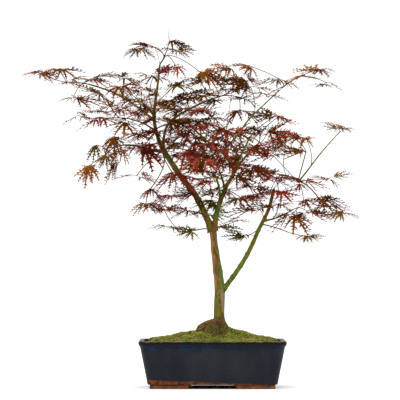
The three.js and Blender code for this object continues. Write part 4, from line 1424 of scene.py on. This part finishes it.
def tooth(root, side, way, normal, length, breadth, rng):
    """The four corners of one tooth on the same lobe of every leaf."""
    count = len(root)
    long = (length * rng.uniform(*TOOTH["vary"], count))[:, None]
    forward = rng.uniform(*TOOTH["forward"], (count, 1))
    out = unit(side * TOOTH["outward"] + way * forward + normal * rng.normal(*TOOTH["lift"], (count, 1)))
    edge = unit(np.cross(normal, out)) * breadth[:, None]
    shoulder = root + TOOTH["shoulder"] * long * out
    return [root, shoulder + edge, root + long * out, shoulder - edge]


def lobe_block(leaves, angle, share, pairs, rng):
    """The points of one lobe of every leaf: its left side, its right side, and its teeth."""
    base, ahead, up = (np.array([leaf[key] for leaf in leaves]) for key in ("base", "ahead", "up"))
    size, droop = (np.array([leaf[key] for leaf in leaves]) for key in ("size", "droop"))
    count = len(leaves)
    turn = np.radians(angle + rng.normal(0, LOBE["stray"], count))
    length = size * share * rng.uniform(*LOBE["length"], count)
    outer = 1 + LOBE["outer_bend"] * abs(angle) / LOBE["widest_angle"]
    bend = droop * rng.uniform(*LOBE["bend"], count) * outer
    stations = pairs + 2
    line, way, side = lobe_line(base, ahead, up, length, turn, bend, stations)
    out = np.linspace(0, 1, stations)
    along = np.clip(BODY["start"] + BODY["run"] * out, 0, 1)
    body = np.sin(np.pi * along ** BODY["forward"]) ** BODY["full"]
    width = np.maximum(LOBE["blade"] * length[:, None] * body, LOBE["neck"] * (1 - LOBE["narrowing"] * out))
    left = line + side[:, None] * width[..., None]
    right = line - side[:, None] * width[..., None]
    normal = unit(np.cross(way, side[:, None]))
    teeth = []
    for k in range(1, pairs + 1):
        t = k / (pairs + 1)
        longer, shorter, narrower = (start + slope * t for start, slope in TEETH_ALONG.values())
        long = TOOTH["length"] * length * min(1.0, longer) * min(1.0, shorter)
        broad = TOOTH["width"] * length * narrower
        for sign in (1, -1):
            teeth += tooth(line[:, k], side * sign, way[:, k], normal[:, k], long, broad, rng)
    return np.concatenate([left, right, np.stack(teeth, 1)], 1)


def leaf_mesh(leaves, tints, rng):
    """All the leaves of one colour as one sheet mesh, and the tint of each face."""
    points, faces, kinds, total = [], [], [], 0
    for angle, share, pairs in LOBES:
        block = lobe_block(leaves, angle, share, pairs, rng)
        stations = pairs + 2
        shape = [(k, k + 1, stations + k + 1, stations + k) for k in range(stations - 1)]
        shape += [tuple(2 * stations + 4 * k + corner for corner in range(4)) for k in range(2 * pairs)]
        for order, leaf in enumerate(leaves):
            first = total + order * block.shape[1]
            faces += [tuple(first + corner for corner in face) for face in shape]
            own = leaf["tint"] if rng.random() > LIT_TIPS else int(rng.integers(tints))
            kinds += [own] * len(shape)
        points.append(block.reshape(-1, 3))
        total += len(leaves) * block.shape[1]
    return np.concatenate(points), faces, kinds


def leaf_pieces(leaves):
    """One piece for each colour of leaf, which stands for the masses of that colour."""
    rng = np.random.default_rng(LEAF_SEEDS["shape"])
    for slot, tints in TINTS.items():
        chosen = [leaf for leaf in leaves if leaf["slot"] == slot]
        materials = [plain_finish("leaf_" + name, code, 0.8, 0.0) for name, code in tints]
        points, faces, kinds = leaf_mesh(chosen, len(tints), rng)
        piece = piece_from(slot.replace("leaf_", "leaves_"), points, faces, materials, False, kinds)
        settle(piece, slot, *[mass.name for mass in MASSES if mass.slot == slot])


leaves = place_leaves(np.random.default_rng(LEAF_SEEDS["place"]))
leaf_pieces(leaves)

# ---- Leaf stalks ---------------------------------------------------------------------------
# A thin, stiff, wine-red stalk carries each blade out from its bud on the twig.

STALK_RADIUS = 0.42
STALK_MESH = {"points": 5, "sides": 4}
STALK_BOW = {"rise": 0.12, "tip": 0.7}  # rise of its middle against its length, and radius at the blade


def leaf_stalks():
    """A bowed stem from each bud to its blade."""
    lines = []
    count = STALK_MESH["points"]
    t = np.linspace(0, 1, count)[:, None]
    for leaf in leaves:
        a, b = node_place[leaf["tip"]], leaf["base"]
        bow = (a + b) / 2 + np.array([0, 0, STALK_BOW["rise"] * np.linalg.norm(b - a)])
        curve = (1 - t) ** 2 * a + 2 * t * (1 - t) * bow + t ** 2 * b
        radii = np.linspace(STALK_RADIUS, STALK_BOW["tip"] * STALK_RADIUS, count)
        lines.append(np.column_stack([curve, radii]))
    red = plain_finish("stalk_red", "8a402a", 0.7, 0.1)
    stems("leaf_stalks", lines, STALK_MESH["sides"], red, "green_bark")


leaf_stalks()

# ---- Floor, light and camera ---------------------------------------------------------------
# A plain pale floor in a white room, with a broad soft sun from the front left and two soft lamps.
# The camera stands 4.5 m in front of the pot, low down, and looks slightly up at the crown.

FLOOR_HALF = 30.0
FLOOR_TONES = {"seen": "fbfbfa", "lighting": "e6e6e4"}
ROOM = {"seen": 1.15, "mirrored": 0.5, "diffuse": 1.05}  # the room's brightness to each kind of ray
SUN = {"power": 1.5, "softness": 0.8, "towards": (0.75, 1.0, -1.25)}
# Each lamp's place, size and power. Both face the middle of the tree.
LAMPS = {"fill": ((1.6, -0.8, 1.4), 1.6, 12.0), "back": ((0.4, 1.8, 1.8), 1.4, 14.0)}
LAMPS_FACE = (0.0, 0.0, 0.3)
CAMERA = {"away": 4.5, "height": 0.215, "left": 0.021, "aim": 0.317, "angle": 8.62}
SENSOR = 36.0  # millimetres
SIGHT = 100.0  # metres


def floor():
    """A broad level sheet, a little brighter to the eye than it is as a source of light."""
    mesh = bpy.data.meshes.new("floor")
    corners = [(x * FLOOR_HALF, y * FLOOR_HALF, 0) for x, y in ((-1, -1), (1, -1), (1, 1), (-1, 1))]
    mesh.from_pydata(corners, [], [(0, 1, 2, 3)])
    material, tree, shader, _ = finish("pale_floor", 0.9, Specular_IOR_Level=0.0)
    seen = add(tree, "ShaderNodeLightPath").outputs["Is Camera Ray"]
    pale = two_tones(tree, seen, (FLOOR_TONES["lighting"], FLOOR_TONES["seen"]))
    tree.links.new(pale, shader.inputs["Base Color"])
    mesh.materials.append(material)
    made = bpy.data.objects.new("floor", mesh)
    bpy.context.scene.collection.objects.link(made)


def area_light(name, place, size, power):
    """A round soft lamp."""
    data = bpy.data.lights.new(name, "AREA")
    data.shape = "DISK"
    data.size = size
    data.energy = power
    lamp = bpy.data.objects.new(name, data)
    lamp.location = place
    lamp.rotation_euler = (Vector(LAMPS_FACE) - Vector(place)).to_track_quat("-Z", "Y").to_euler()
    bpy.context.scene.collection.objects.link(lamp)


def white_room():
    """A white world whose brightness depends on the kind of ray."""
    world = bpy.data.worlds.new("soft_room")
    world.use_nodes = True
    tree = world.node_tree
    rays = add(tree, "ShaderNodeLightPath").outputs
    seen = math_node(tree, "MULTIPLY", rays["Is Camera Ray"], ROOM["seen"] - ROOM["diffuse"])
    mirrored = math_node(tree, "MULTIPLY", rays["Is Glossy Ray"], ROOM["mirrored"] - ROOM["diffuse"])
    strength = math_node(tree, "ADD", math_node(tree, "ADD", seen, mirrored), ROOM["diffuse"])
    tree.nodes["Background"].inputs["Color"].default_value = (1.0, 1.0, 1.0, 1.0)
    tree.links.new(strength, tree.nodes["Background"].inputs["Strength"])
    bpy.context.scene.world = world


def sunlight():
    """A broad sun, whose shadows are soft."""
    sun = bpy.data.lights.new("key", "SUN")
    sun.energy = SUN["power"]
    sun.angle = SUN["softness"]
    lamp = bpy.data.objects.new("key", sun)
    lamp.rotation_euler = Vector(SUN["towards"]).to_track_quat("-Z", "Y").to_euler()
    bpy.context.scene.collection.objects.link(lamp)


def studio():
    """The floor, the room, the sun and the lamps."""
    floor()
    white_room()
    sunlight()
    for name, (place, size, power) in LAMPS.items():
        area_light(name, place, size, power)
    bpy.context.scene.view_settings.view_transform = "Standard"


def camera():
    """A long lens, aimed so that the whole plant fills the frame."""
    data = bpy.data.cameras.new("camera")
    data.sensor_width = SENSOR
    data.lens = data.sensor_width / 2 / math.tan(math.radians(CAMERA["angle"] / 2))
    data.clip_end = SIGHT
    made = bpy.data.objects.new("camera", data)
    x = POT_MIDDLE[0] - CAMERA["left"]
    made.location = (x, POT_MIDDLE[1] - CAMERA["away"], CAMERA["height"])
    aim = Vector((x, POT_MIDDLE[1], CAMERA["aim"]))
    made.rotation_euler = (aim - made.location).to_track_quat("-Z", "Y").to_euler()
    bpy.context.scene.collection.objects.link(made)
    bpy.context.scene.camera = made


studio()
camera()
